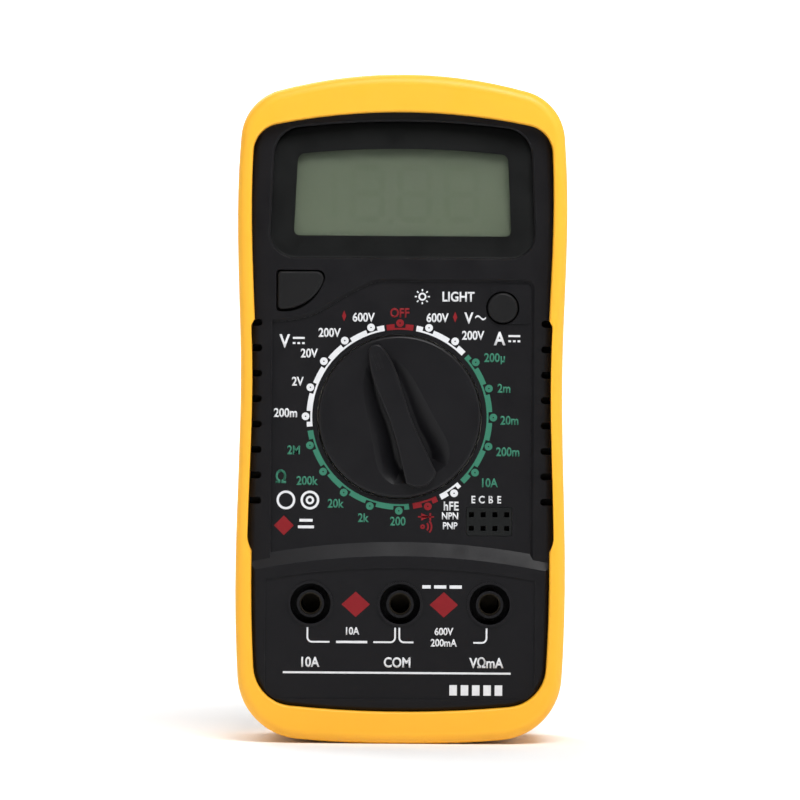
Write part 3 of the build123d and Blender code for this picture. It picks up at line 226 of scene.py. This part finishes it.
def clear_plastic(name, tint, roughness, ior=1.49):
    """Clear acrylic or glass, faintly smudged and rippled, that lamps shine through."""
    smudge_scale, tint_scale, ripple_scale, ripple_depth = 90.0, 40.0, 55.0, 0.004 * MM
    smudge_high, least_rough, most_rough = 0.75, 0.6 * roughness, 1.6 * roughness
    tint_dip, lamp_tint = 0.97, 0.95  # how much of the tint is left
    material = bpy.data.materials.new(name)
    material.use_nodes = True
    tree = material.node_tree
    shader = tree.nodes["Principled BSDF"]
    shader.inputs["Transmission Weight"].default_value = 1.0
    shader.inputs["IOR"].default_value = ior
    smudges = noise(tree, smudge_scale, GLOSS_DETAIL)
    smudge = remap(tree, smudges, NOISE_LOW, smudge_high, least_rough, most_rough)
    tree.links.new(smudge, shader.inputs["Roughness"])
    colour = mix_colours(tree, noise(tree, tint_scale), tint, scaled(tint, tint_dip))
    tree.links.new(colour, shader.inputs["Base Color"])
    ripple = add_node(
        tree, "Bump", {"Height": noise(tree, ripple_scale), "Distance": ripple_depth}
    )
    tree.links.new(ripple.outputs["Normal"], shader.inputs["Normal"])
    lamp_ray = add_node(tree, "LightPath").outputs["Is Shadow Ray"]
    through = add_node(tree, "BsdfTransparent", {"Color": scaled(tint, lamp_tint)}).outputs["BSDF"]
    either = add_node(tree, "MixShader", {"Fac": lamp_ray, 1: shader.outputs["BSDF"], 2: through})
    tree.links.new(either.outputs["Shader"], tree.nodes["Material Output"].inputs["Surface"])
    return material


def axis_value(tree, axis):
    """The object-space position along X, Y or Z, in metres."""
    position = add_node(tree, "TexCoord").outputs["Object"]
    return add_node(tree, "SeparateXYZ", {0: position}).outputs[axis]


def along_node(tree, node_name, axis):
    """The position along a CAD node: 0 at its low end and 1 at its high end."""
    low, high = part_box(node_name)
    index = "XYZ".index(axis)
    return remap(tree, axis_value(tree, axis), low[index], high[index], 0.0, 1.0)


def step_colours(tree, value, stops):
    """A stepped ramp; value runs from 0 to 1."""
    ramp = add_node(tree, "ValToRGB", {"Fac": value})
    ramp.color_ramp.interpolation = "CONSTANT"
    elements = ramp.color_ramp.elements
    while len(elements) > 1:
        elements.remove(elements[-1])
    elements[0].position, elements[0].color = stops[0][0], (*stops[0][1], 1.0)
    for position, colour in stops[1:]:
        elements.new(position).color = (*colour, 1.0)
    return ramp.outputs["Color"]


def banded_resistors(tree):
    """Blue bodies with colour bands; tinned wire beyond them."""
    wire, body = (0.6, 0.6, 0.6), (0.16, 0.36, 0.52)
    brown, black = (0.1, 0.03, 0.01), (0.01, 0.01, 0.01)
    red, gold = (0.4, 0.01, 0.01), (0.5, 0.3, 0.04)
    stops = (
        (0.0, wire), (0.17, body), (0.25, brown), (0.31, body), (0.38, black), (0.44, body),
        (0.51, red), (0.57, body), (0.7, gold), (0.76, body), (0.83, wire),
    )
    return step_colours(tree, along_node(tree, "resistors", "Z"), stops)


def banded_diodes(tree):
    """Black bodies with one pale band; tinned wire beyond them."""
    wire, body, band = (0.6, 0.6, 0.6), (0.012, 0.012, 0.012), (0.6, 0.6, 0.58)
    stops = ((0.0, wire), (0.22, body), (0.62, band), (0.71, body), (0.78, wire))
    return step_colours(tree, along_node(tree, "diodes", "Z"), stops)


def battery_jacket(tree):
    """Steel ends, and a jacket that is part navy and part pale, with a stripe between."""
    steel, navy, pale = (0.5, 0.5, 0.5), (0.02, 0.035, 0.09), (0.55, 0.57, 0.6)
    stops = ((0.0, steel), (0.02, navy), (0.6, pale), (0.63, navy), (0.66, pale), (0.97, steel))
    return step_colours(tree, along_node(tree, "battery", "X"), stops)


def board_colours(tree):
    """Green solder mask over copper tracks, with a few tinned pads."""
    mask_green, track_green, tin = (0.012, 0.1, 0.035), (0.03, 0.19, 0.06), (0.5, 0.48, 0.42)
    track_scale, pad_scale = 190.0, 260.0  # cells per metre
    position = add_node(tree, "TexCoord").outputs["Object"]
    cells = add_node(
        tree, "TexVoronoi", {"Vector": position, "Scale": track_scale}, distance="MANHATTAN"
    )
    tracks = remap(tree, cells.outputs["Distance"], 0.42, 0.5, 0.0, 1.0)
    masked = mix_colours(tree, tracks, mask_green, track_green)
    dots = add_node(tree, "TexVoronoi", {"Vector": position, "Scale": pad_scale})
    pads = remap(tree, dots.outputs["Distance"], 0.1, 0.13, 1.0, 0.0)
    return mix_colours(tree, pads, masked, tin)


def lcd_colours(tree):
    """Grey-green film, with painted shade that makes it darker towards its upper edge."""
    cloud_scale = 30.0
    plain = mix_colours(tree, along_node(tree, "lcd_panel", "Z"), LCD_LOWER, LCD_UPPER_PAINTED_SHADE)
    return mix_colours(tree, noise(tree, cloud_scale), plain, LCD_CLOUDS)


# What several finishes share
case_black = dict(
    base=BLACK_PLASTIC, roughness=0.45, mottle=0.12, grain=2600.0, grain_depth=0.02, wear=0.12,
    specular_ior_level=0.16,
)
steel = dict(base=(0.55, 0.55, 0.56), metallic=1.0, roughness=0.32, mottle=0.06, grain=5000.0)
brass = dict(base=(0.72, 0.5, 0.22), metallic=1.0, roughness=0.28, mottle=0.12, grain=4000.0)
moulded = dict(roughness=0.45, grain=4200.0, grain_depth=0.006)
key_rubber = dict(roughness=0.55, mottle=0.12, wear=0.3, specular_ior_level=0.18)
tarnished = dict(base=(0.05, 0.042, 0.03), metallic=1.0, roughness=0.5, mottle=0.25, grain=4000.0)
blackened = dict(base=(0.12, 0.12, 0.12), metallic=1.0, roughness=0.4)

FINISHES = {
    "holster": surface(
        "rubber_yellow", YELLOW_RUBBER, 0.5, 0.07, mottle=0.035, mottle_scale=45.0,
        grain=2400.0, grain_depth=0.016, subsurface_weight=0.04,
    ),
    "front_case": surface("case_black", **case_black),
    "rear_case": surface("case_black_rear", **case_black),
    "battery_door": surface("door_black", **case_black),
    "tilt_stand": surface("stand_black", **case_black),
    "rear_label": surface("label_grey", (0.32, 0.32, 0.33), 0.38, mottle=0.05, grain_depth=0.004),
    "selector_knob": surface(
        "knob_black", BLACK_PLASTIC, 0.38, 0.06, mottle=0.12, grain=3800.0, grain_depth=0.008,
        wear=0.3, wear_width=0.25, specular_ior_level=0.2,
    ),
    "hold_button": surface("key_black", KEY_RUBBER, **key_rubber),
    "backlight_button": surface("key_black_round", KEY_RUBBER, **key_rubber),
    "hold_switch_body": surface("switch_black", DARK_NYLON, **moulded),
    "light_switch_body": surface("switch_black_2", DARK_NYLON, **moulded),
    "hold_switch_plunger": surface("plunger_red", PLUNGER_RED, **moulded),
    "light_switch_plunger": surface("plunger_red_2", PLUNGER_RED, **moulded),
    "switch_rotor": surface("rotor_ivory", (0.6, 0.58, 0.5), **moulded),
    "detent_balls": surface("ball_steel", **steel),
    "detent_springs": surface("spring_steel", **steel),
    "rotor_contacts": surface("contact_brass", **brass),
    "lcd_window": clear_plastic("window_clear", (0.93, 0.94, 0.93), 0.02),
    "window_mask": surface("mask_black", (0.008, 0.008, 0.009), 0.5, grain_depth=0.002),
    "lcd_panel": surface("lcd_film", lcd_colours, 0.4, 0.04, grain_depth=0.002),
    "lcd_frame": surface("frame_ivory", (0.55, 0.54, 0.5), **moulded),
    "backlight_diffuser": surface("diffuser_white", (0.7, 0.72, 0.7), **moulded),
    "backlight_leds": surface("led_cream", (0.7, 0.6, 0.3), **moulded),
    "zebra_strip": surface("strip_grey", (0.03, 0.03, 0.032), **moulded),
    "circuit_board": surface("board_green", board_colours, 0.32, grain_depth=0.01),
    "transistor_socket": surface(
        "socket_dark", (0.006, 0.0068, 0.0068), 0.45, mottle=0.15, wear=0.1, specular_ior_level=0.18
    ),
    "socket_contacts": surface("pin_metal", **tarnished),
    "jack_amps": surface("jack_metal_1", **tarnished),
    "jack_common": surface("jack_metal_2", **tarnished),
    "jack_volts": surface("jack_metal_3", **tarnished),
    "fuse_tube": clear_plastic("fuse_glass", (0.95, 0.96, 0.95), 0.02, 1.5),
    "fuse_caps": surface("cap_plated", **steel),
    "fuse_clips": surface("clip_tinned", **steel),
    "shunt_wire": surface("shunt_metal", (0.5, 0.33, 0.22), metallic=1.0, roughness=0.35),
    "battery": surface("battery_jacket", battery_jacket, 0.3, grain_depth=0.003),
    "battery_terminals": surface("terminal_plated", **steel),
    "battery_snap": surface("snap_vinyl", (0.014, 0.014, 0.014), **moulded),
    "red_lead": surface("lead_red", (0.45, 0.02, 0.015), **moulded),
    "black_lead": surface("lead_black", (0.012, 0.012, 0.012), **moulded),
    "buzzer": surface("buzzer_black", (0.018, 0.018, 0.018), **moulded),
    "chip_cover": surface("resin_black", (0.01, 0.01, 0.01), 0.22, mottle=0.2, grain=900.0),
    "trimmer": surface("trimmer_blue", (0.03, 0.1, 0.4), **moulded),
    "trimmer_screw": surface("trimmer_brass", **brass),
    "resistors": surface("resistor_bands", banded_resistors, 0.35, grain_depth=0.004),
    "diodes": surface("diode_bands", banded_diodes, 0.3, grain_depth=0.004),
    "capacitors": surface("capacitor_amber", (0.42, 0.16, 0.02), 0.3, mottle=0.2, grain=1500.0),
    "board_screws": surface("screw_zinc", **steel),
    "case_screws": surface("screw_black", **blackened),
    "door_screw": surface("screw_black_small", **blackened),
}

for node_name, node in nodes.items():
    for slot in node.material_slots:
        slot.material = FINISHES[node_name]


# ============================================================== printed marks
def ink(name, colour):
    return surface(
        name, colour, 0.45, mottle=0.07, mottle_scale=900.0, grain=9000.0, grain_depth=0.006,
        specular_ior_level=0.2,
    )


INKS = {
    "white": ink("ink_white", WHITE_INK),
    "green": ink("ink_green", GREEN_INK),
    "red": ink("ink_red", RED_INK),
}
LETTER_WIDTH = 0.86  # the lettering is a little condensed
LETTER_WEIGHT = 0.026  # and bold
LETTER_STEPS = 4  # points on each curve of a letter


def letters(body):
    """The mesh of a piece of text at font size 1, in the XY plane, centred in x."""
    curve = bpy.data.curves.new("letters", "FONT")
    curve.body = body
    curve.offset = LETTER_WEIGHT
    curve.resolution_u = LETTER_STEPS
    curve.align_x = "CENTER"
    holder = bpy.data.objects.new("letters", curve)
    scene.collection.objects.link(holder)
    bpy.context.view_layer.update()
    evaluated = holder.evaluated_get(bpy.context.evaluated_depsgraph_get())
    mesh = bpy.data.meshes.new_from_object(evaluated)
    bpy.data.objects.remove(holder)
    bpy.data.curves.remove(curve)
    return mesh


def cap_height():
    """The height of a capital in the meshes of letters."""
    mesh = letters("H")
    heights = [vertex.co.y for vertex in mesh.vertices]
    bpy.data.meshes.remove(mesh)
    return max(heights) - min(heights)


CAP_HEIGHT = cap_height()


class Print:
    """Flat marks of one colour on one surface, gathered into one thin mesh."""

    def __init__(self, name, surface_y, material):
        self.name = name
        self.y = surface_y
        self.material = material
        self.flat = bmesh.new()

    def point(self, x, z):
        return self.flat.verts.new((x * MM, self.y * MM, z * MM))

    def shape(self, outline):
        """A filled outline of (x, z) points in millimetres."""
        self.flat.faces.new([self.point(x, z) for x, z in outline])

    def bar(self, x, z, width, height):
        w, h = width / 2, height / 2
        self.shape([(x - w, z - h), (x + w, z - h), (x + w, z + h), (x - w, z + h)])

    def diamond(self, x, z, width, height):
        w, h = width / 2, height / 2
        self.shape([(x - w, z), (x, z - h), (x + w, z), (x, z + h)])

    def band(self, inner, outer, closed=False):
        """A ribbon between two lines of (x, z) points."""
        inside = [self.point(x, z) for x, z in inner]
        outside = [self.point(x, z) for x, z in outer]
        count = len(inside)
        for i in range(count if closed else count - 1):
            j = (i + 1) % count
            self.flat.faces.new((inside[i], outside[i], outside[j], inside[j]))

    def sector(self, x, z, inner_r, outer_r, start, end):
        """Part of a ring; the angles are in degrees, clockwise from the top."""
        degrees_per_step = 3
        steps = max(2, round(abs(end - start) / degrees_per_step))
        angles = [radians(start + (end - start) * i / steps) for i in range(steps + 1)]
        self.band(
            [(x + inner_r * sin(a), z + inner_r * cos(a)) for a in angles],
            [(x + outer_r * sin(a), z + outer_r * cos(a)) for a in angles],
        )

    def ring(self, x, z, inner_r, outer_r, steps=28):
        angles = [2 * pi * i / steps for i in range(steps)]
        self.band(
            [(x + inner_r * sin(a), z + inner_r * cos(a)) for a in angles],
            [(x + outer_r * sin(a), z + outer_r * cos(a)) for a in angles],
            closed=True,
        )

    def wave(self, x, z, width, height, thickness, steps=16):
        """A sine wave of one period, for alternating current."""
        lower, upper = [], []
        for i in range(steps + 1):
            along = i / steps
            px = x + width * (along - 0.5)
            pz = z + height / 2 * sin(2 * pi * along)
            lower.append((px, pz - thickness / 2))
            upper.append((px, pz + thickness / 2))
        self.band(lower, upper)

    def text(self, body, x, z, height):
        """Text centred on (x, z); height is that of a capital letter."""
        mesh = letters(body)
        scale = height / CAP_HEIGHT * MM
        place = Matrix.Translation((x * MM, self.y * MM, (z - height / 2) * MM))
        turn = Matrix.Rotation(pi / 2, 4, "X")
        size = Matrix.Diagonal((scale * LETTER_WIDTH, scale, scale, 1))
        mesh.transform(place @ turn @ size)
        self.flat.from_mesh(mesh)
        bpy.data.meshes.remove(mesh)

    def finish(self, depth=PRINT_DEPTH, same_as="rear_label"):
        """Gives the flat marks their thickness, towards the front."""
        bmesh.ops.recalc_face_normals(self.flat, faces=self.flat.faces)
        for face in self.flat.faces:
            if face.normal.y > 0:
                face.normal_flip()
        flat_faces = list(self.flat.faces)
        raised = bmesh.ops.extrude_face_region(self.flat, geom=flat_faces, use_keep_orig=True)
        lifted = [item for item in raised["geom"] if isinstance(item, bmesh.types.BMVert)]
        bmesh.ops.translate(self.flat, verts=lifted, vec=(0, -depth * MM, 0))
        bmesh.ops.recalc_face_normals(self.flat, faces=self.flat.faces)
        mesh = bpy.data.meshes.new(self.name)
        self.flat.to_mesh(mesh)
        self.flat.free()
        piece = bpy.data.objects.new(self.name, mesh)
        scene.collection.objects.link(piece)
        mesh.materials.append(self.material)
        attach(piece, "meter")


# The coloured scale round the knob: radii of its line and its thicker arcs, and of the
# dots, each a small ring in a gap of the arcs that reaches DOT_GAP to either side
RING_INNER, RING_LINE, RING_OUTER = 18.55, 18.95, 19.75
DOT_RING, DOT_OUTER, DOT_INNER, DOT_GAP = 19.95, 0.82, 0.16, 1.2

# Groups of the selector's positions, in degrees clockwise from the top: the colour,
# the ends of the arc, and the positions in it, which are 18 degrees apart
ARC_GROUPS = (
    ("red", -8.5, 8.5, (0,)),
    ("white", 10.5, 45.0, (18, 36)),
    ("green", 47.5, 135.5, (54, 72, 90, 108, 126)),
    ("white", 138.0, 152.5, (144,)),
    ("red", 155.0, 171.0, (162,)),
    ("green", 173.5, 261.0, (180, 198, 216, 234, 252)),
    ("white", 263.5, 350.0, (270, 288, 306, 324, 342)),
)
# Heights of the capitals
TINY, PIN, SMALL, OFF_SIZE, KEY_SIZE, VOLTS_SIZE, OHMS_SIZE, LARGE = (
    1.5, 1.6, 1.9, 2.0, 2.1, 2.4, 2.7, 2.85,
)
# What is written in each colour: the text, its middle in x and z, and its height
DIAL_LABELS = {
    "white": (
        ("600V", -8.2, 90.5, SMALL), ("200V", -15.4, 87.2, SMALL), ("20V", -19.7, 82.8, SMALL),
        ("2V", -22.1, 76.8, SMALL), ("200m", -24.6, 70.1, SMALL), ("600V", 7.5, 90.5, SMALL),
        ("200V", 15.1, 86.8, SMALL), ("hFE", 10.7, 50.5, SMALL), ("NPN", 10.5, 48.4, TINY),
        ("PNP", 10.5, 46.3, TINY), ("E", 15.4, 51.9, PIN), ("C", 17.2, 51.9, PIN),
        ("B", 19.1, 51.9, PIN), ("E", 20.9, 51.9, PIN), ("V", -24.9, 85.4, LARGE),
        ("V", 14.2, 90.5, VOLTS_SIZE), ("A", 20.8, 86.2, LARGE), ("LIGHT", 11.9, 95.0, KEY_SIZE),
    ),
    "green": (
        ("200µ", 19.8, 82.1, SMALL), ("2m", 21.8, 75.6, SMALL), ("20m", 23.0, 68.8, SMALL),
        ("200m", 22.7, 62.1, SMALL), ("10A", 18.7, 55.5, SMALL), ("200", -0.6, 47.2, SMALL),
        ("2k", -8.0, 47.9, SMALL), ("20k", -13.9, 50.9, SMALL), ("200k", -20.0, 55.7, SMALL),
        ("2M", -22.8, 62.2, SMALL), ("Ω", -25.5, 56.5, OHMS_SIZE),
    ),
    "red": (("OFF", -0.5, 91.5, OFF_SIZE),),
}


def direct_current_sign(marks, x, z):
    """A solid bar over a broken one."""
    bar_width, dash_width, dash_pitch, stroke, half_gap = 2.5, 0.56, 0.98, 0.42, 0.55
    marks.bar(x, z + half_gap, bar_width, stroke)
    for offset in (-dash_pitch, 0.0, dash_pitch):
        marks.bar(x + offset, z - half_gap, dash_width, stroke)


def print_arcs(marks, colour):
    for group_colour, start, end, positions in ARC_GROUPS:
        if group_colour != colour:
            continue
        gap = 180 / pi * DOT_GAP / DOT_RING
        edges = [start]
        for position in positions:
            edges += [position - gap, position + gap]
            angle = radians(position)
            dot_x = KNOB_X + DOT_RING * sin(angle)
            dot_z = KNOB_Z + DOT_RING * cos(angle)
            marks.ring(dot_x, dot_z, DOT_INNER, DOT_OUTER)
        edges.append(end)
        for first, last in zip(edges[::2], edges[1::2]):
            marks.sector(KNOB_X, KNOB_Z, RING_LINE, RING_OUTER, first, last)
        marks.sector(KNOB_X, KNOB_Z, RING_INNER, RING_LINE, start, end)


def print_dial(colour):
    """The scale and the labels of one colour, ready for its signs and its finish."""
    marks = Print(f"dial_marks_{colour}", DIAL_Y, INKS[colour])
    print_arcs(marks, colour)
    for body, x, z, height in DIAL_LABELS[colour]:
        marks.text(body, x, z, height)
    return marks


def lamp_sign(marks, x, z):
    """A ring with short rays."""
    ring_inner, ring_outer, ray_inner, ray_outer = 0.5, 0.85, 1.15, 1.6
    ray_pitch, ray_half = 45, 6  # degrees
    marks.ring(x, z, ring_inner, ring_outer)
    for turn in range(0, 360, ray_pitch):
        marks.sector(x, z, ray_inner, ray_outer, turn - ray_half, turn + ray_half)


def diode_sign(marks, x, z):
    """A triangle against a bar, on a line."""
    back_x, tip_x, bar_x, half_height = x - 1.0, x + 0.7, x + 0.9, 0.8
    bar_stroke, line_width, line_stroke = 0.35, 3.4, 0.3
    marks.shape([(back_x, z - half_height), (tip_x, z), (back_x, z + half_height)])
    marks.bar(bar_x, z, bar_stroke, 2 * half_height)
    marks.bar(x, z, line_width, line_stroke)


def sound_sign(marks, x, z):
    """A dot with two arcs beside it."""
    dot_inner, dot_outer, stroke = 0.15, 0.5, 0.35
    start, end = 50, 130  # degrees clockwise from the top
    marks.ring(x, z, dot_inner, dot_outer)
    for reach in (1.0, 1.7):
        marks.sector(x, z, reach, reach + stroke, start, end)


# Places in x and z of the signs on the dial panel
DC_SIGNS = ((-21.9, 85.4), (23.9, 86.1))
AC_SIGN, AC_SIGN_SIZE = (16.7, 90.5), (2.3, 0.7, 0.38)  # width, height and stroke
LAMP_SIGN, DIODE_SIGN, SOUND_SIGN = (4.3, 94.9), (5.4, 48.1), (4.7, 46.0)
SIGN_RING, SIGN_CORE = (1.5, 2.0), (0.45, 0.9)  # inner and outer radii
SINGLE_RING, DOUBLE_RING = (-24.4, 51.5), (-19.3, 51.5)
SHORT_BARS_X, SHORT_BARS_STROKE = -20.1, 0.6
SHORT_BARS = ((47.2, 2.8), (45.8, 3.4))  # z and width of each
VOLTAGE_DIAMONDS, VOLTAGE_DIAMOND_SIZE = ((-12.3, 90.7), (11.3, 90.6)), (0.9, 2.3)
LOWER_DIAMOND, LOWER_DIAMOND_SIZE = (-24.8, 46.1), (4.2, 4.2)


def print_white_dial():
    dial = print_dial("white")
    for place in DC_SIGNS:
        direct_current_sign(dial, *place)
    dial.wave(*AC_SIGN, *AC_SIGN_SIZE)
    lamp_sign(dial, *LAMP_SIGN)
    dial.ring(*SINGLE_RING, *SIGN_RING)
    for radii in (SIGN_RING, SIGN_CORE):
        dial.ring(*DOUBLE_RING, *radii)
    for z, width in SHORT_BARS:
        dial.bar(SHORT_BARS_X, z, width, SHORT_BARS_STROKE)
    dial.finish()


def print_red_dial():
    dial = print_dial("red")
    for place in VOLTAGE_DIAMONDS:
        dial.diamond(*place, *VOLTAGE_DIAMOND_SIZE)
    dial.diamond(*LOWER_DIAMOND, *LOWER_DIAMOND_SIZE)
    diode_sign(dial, *DIODE_SIGN)
    sound_sign(dial, *SOUND_SIGN)
    dial.finish()


print_white_dial()
print_dial("green").finish()
print_red_dial()

# The jack panel: brackets that pair the jacks, their ratings, and a rule below
BRACKET_TOP, BRACKET_LINE, BRACKET_STROKE, BRACKET_CORNER = 24.6, 21.5, 0.36, 1.0
# x of each bracket's left post, where its line breaks off and starts again, and its right post
BRACKETS = ((-19.6, -14.9, -5.6, -1.0), (-0.1, 2.9, 15.6, 18.4))
JACK_LABELS = (("10A", -19.2), ("COM", -0.5), ("VΩmA", 18.4))  # with the middle's x
JACK_LABEL_Z, JACK_LABEL_SIZE = 17.3, 2.15
RATING_HIGH_Z, RATING_LOW_Z, RATING_SIZE = 23.9, 21.5, 1.6
LEFT_RATING_X, RIGHT_RATING_X = -10.2, 9.3
LEFT_RATING_BAR = (6.6, 0.5)  # width and stroke
RULE_X, RULE_Z, RULE_SIZE = -0.6, 15.0, (48.3, 0.42)
TOP_DASHES, TOP_DASHES_Z, TOP_DASHES_STROKE = ((5.6, 1.8), (8.5, 2.6), (11.8, 2.6)), 33.3, 0.7
BLOCK_XS, BLOCK_Z, BLOCK_SIZE = (11.4, 13.8, 16.2, 18.6, 21.0), 11.4, (1.6, 2.2)
DECK_DIAMOND_XS, DECK_DIAMOND_Z, DECK_DIAMOND_SIZE = (-9.4, 9.3), 29.5, (6.0, 5.4)


def bracket_end(marks, post_x, inner_x):
    """A short post that turns a round corner into a level line."""
    side = 1 if inner_x > post_x else -1
    half, bend_r = BRACKET_STROKE / 2, BRACKET_CORNER
    bend_x, bend_z = post_x + side * bend_r, BRACKET_LINE + bend_r
    marks.bar(post_x, (BRACKET_TOP + bend_z) / 2, BRACKET_STROKE, BRACKET_TOP - bend_z)
    marks.sector(bend_x, bend_z, bend_r - half, bend_r + half, 180, 180 + side * 90)
    marks.bar((bend_x + inner_x) / 2, BRACKET_LINE, abs(inner_x - bend_x), BRACKET_STROKE)


def print_white_deck():
    deck = Print("deck_marks_white", DECK_Y, INKS["white"])
    for body, x in JACK_LABELS:
        deck.text(body, x, JACK_LABEL_Z, JACK_LABEL_SIZE)
    deck.bar(RULE_X, RULE_Z, *RULE_SIZE)
    for left_post, left_inner, right_inner, right_post in BRACKETS:
        bracket_end(deck, left_post, left_inner)
        bracket_end(deck, right_post, right_inner)
    deck.text("10A", LEFT_RATING_X, RATING_HIGH_Z, RATING_SIZE)
    deck.bar(LEFT_RATING_X, RATING_LOW_Z, *LEFT_RATING_BAR)
    deck.text("600V", RIGHT_RATING_X, RATING_HIGH_Z, RATING_SIZE)
    deck.text("200mA", RIGHT_RATING_X, RATING_LOW_Z, RATING_SIZE)
    for x, width in TOP_DASHES:
        deck.bar(x, TOP_DASHES_Z, width, TOP_DASHES_STROKE)
    for x in BLOCK_XS:
        deck.bar(x, BLOCK_Z, *BLOCK_SIZE)
    deck.finish()


def print_red_deck():
    deck = Print("deck_marks_red", DECK_Y, INKS["red"])
    for x in DECK_DIAMOND_XS:
        deck.diamond(x, DECK_DIAMOND_Z, *DECK_DIAMOND_SIZE)
    deck.finish()


print_white_deck()
print_red_deck()


# ========================================================== the display's digits
DIGIT_XS, DIGIT_Z = (-7.5, 2.5, 12.5), 116.8
DIGIT_WIDTH, DIGIT_HEIGHT = 6.2, 11.0
SEGMENT_STROKE, SEGMENT_GAP = 1.35, 0.5
POINT_OFFSET, POINT_Z, POINT_SIZE = 5.0, 110.9, 1.1  # the decimal points
HALF_DIGIT_X, HALF_DIGIT_ZS, HALF_DIGIT_BAR = -14.6, (114.1, 119.5), (1.3, 4.6)


def all_segments(marks, x, z):
    """All seven bars of one digit, each a long hexagon."""
    half, step = SEGMENT_STROKE / 2, DIGIT_HEIGHT / 2

    def across(cx, cz, length):
        end = length / 2
        marks.shape([
            (cx - end, cz), (cx - end + half, cz - half), (cx + end - half, cz - half),
            (cx + end, cz), (cx + end - half, cz + half), (cx - end + half, cz + half),
        ])

    def upright(cx, cz, length):
        end = length / 2
        marks.shape([
            (cx, cz - end), (cx + half, cz - end + half), (cx + half, cz + end - half),
            (cx, cz + end), (cx - half, cz + end - half), (cx - half, cz - end + half),
        ])

    for row in (-1, 0, 1):
        across(x, z + row * step, DIGIT_WIDTH - SEGMENT_GAP)
    for column in (-1, 1):
        for row in (-0.5, 0.5):
            upright(x + column * DIGIT_WIDTH / 2, z + row * step, step - SEGMENT_GAP)


def print_digits():
    """Three digits and a leading one, in the faint tone of a display that is off."""
    lcd_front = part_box("lcd_panel")[0].y / MM
    film = surface("segment_film", SEGMENT_GREEN, 0.42, mottle=0.05, grain_depth=0.002)
    digits = Print("display_digits", lcd_front, film)
    for x in DIGIT_XS:
        all_segments(digits, x, DIGIT_Z)
        digits.bar(x + POINT_OFFSET, POINT_Z, POINT_SIZE, POINT_SIZE)
    for z in HALF_DIGIT_ZS:
        digits.bar(HALF_DIGIT_X, z, *HALF_DIGIT_BAR)
    digits.finish(SEGMENT_DEPTH, "lcd_panel")


print_digits()


# ==================================================================== the studio
# Each lamp: its place, the height of the spot on the Z axis that it aims at, its size
# and its power in watts
LAMPS = {
    "key": ((0.18, -0.5, 0.75), 0.08, (0.5, 0.35), 7.4),
    "fill": ((-0.75, -0.7, 0.3), 0.07, (0.6, 0.8), 2.0),
    "side": ((0.8, -0.35, 0.25), 0.07, (0.4, 0.8), 1.9),
    "back": ((-0.3, 0.5, 0.75), 0.08, (0.6, 0.5), 4.0),
}
# The sky is dim towards the camera and brighter behind the meter: the Y of a direction
# and the strength there, at either end
SKY_DIM, SKY_BRIGHT = (-0.9, 0.04), (0.5, 0.4)
# The paper glows behind the meter only: from no glow to all of it, at these places in Y
GLOW, GLOW_START, GLOW_FULL = 0.75, 0.05, 0.4
WHITE = (1.0, 1.0, 1.0)


def area_light(name, place, aim_height, size, power):
    light_data = bpy.data.lights.new(name, "AREA")
    light_data.shape = "RECTANGLE"
    light_data.size, light_data.size_y = size
    light_data.energy = power
    light = bpy.data.objects.new(name, light_data)
    scene.collection.objects.link(light)
    light.location = place
    line_of_light = Vector((0, 0, aim_height)) - Vector(place)
    light.rotation_euler = line_of_light.to_track_quat("-Z", "Y").to_euler()


def make_sky():
    world = bpy.data.worlds.new("studio")
    world.use_nodes = True
    sky = world.node_tree
    direction = add_node(sky, "TexCoord").outputs["Generated"]
    towards_back = add_node(sky, "SeparateXYZ", {0: direction}).outputs["Y"]
    (dim_y, dim), (bright_y, bright) = SKY_DIM, SKY_BRIGHT
    strength = remap(sky, towards_back, dim_y, bright_y, dim, bright)
    sky.nodes["Background"].inputs["Color"].default_value = (*WHITE, 1.0)
    sky.links.new(strength, sky.nodes["Background"].inputs["Strength"])
    scene.world = world


def make_backdrop():
    """A pale floor that curves up into a wall behind the meter."""
    near, far, wall_top, half_width = -1.6, 1.3, 1.6, 2.2
    bend, steps = 0.5, 12  # radius of the curve between floor and wall
    profile = [(near, 0.0), (0.0, 0.0), (far - bend, 0.0)]  # points in y and z
    for i in range(1, steps + 1):
        angle = pi / 2 * i / steps
        profile.append((far - bend + bend * sin(angle), bend - bend * cos(angle)))
    profile.append((far, wall_top))
    mesh = bpy.data.meshes.new("backdrop")
    vertices = [(x, y, z) for y, z in profile for x in (-half_width, half_width)]
    faces = [(2 * i, 2 * i + 1, 2 * i + 3, 2 * i + 2) for i in range(len(profile) - 1)]
    mesh.from_pydata(vertices, [], faces)
    for polygon in mesh.polygons:
        polygon.use_smooth = True
    backdrop = bpy.data.objects.new("backdrop", mesh)
    scene.collection.objects.link(backdrop)
    paper = surface(
        "backdrop_paper", (0.9, 0.9, 0.9), 0.9, 0.03, mottle=0.006, grain=800.0, grain_depth=0.01,
    )
    tree = paper.node_tree
    shader = tree.nodes["Principled BSDF"]
    shader.inputs["Emission Color"].default_value = (*WHITE, 1.0)
    glow = remap(tree, axis_value(tree, "Y"), GLOW_START, GLOW_FULL, 0.0, GLOW)
    tree.links.new(glow, shader.inputs["Emission Strength"])
    mesh.materials.append(paper)


for lamp_name, lamp in LAMPS.items():
    area_light(lamp_name, *lamp)
make_sky()
make_backdrop()
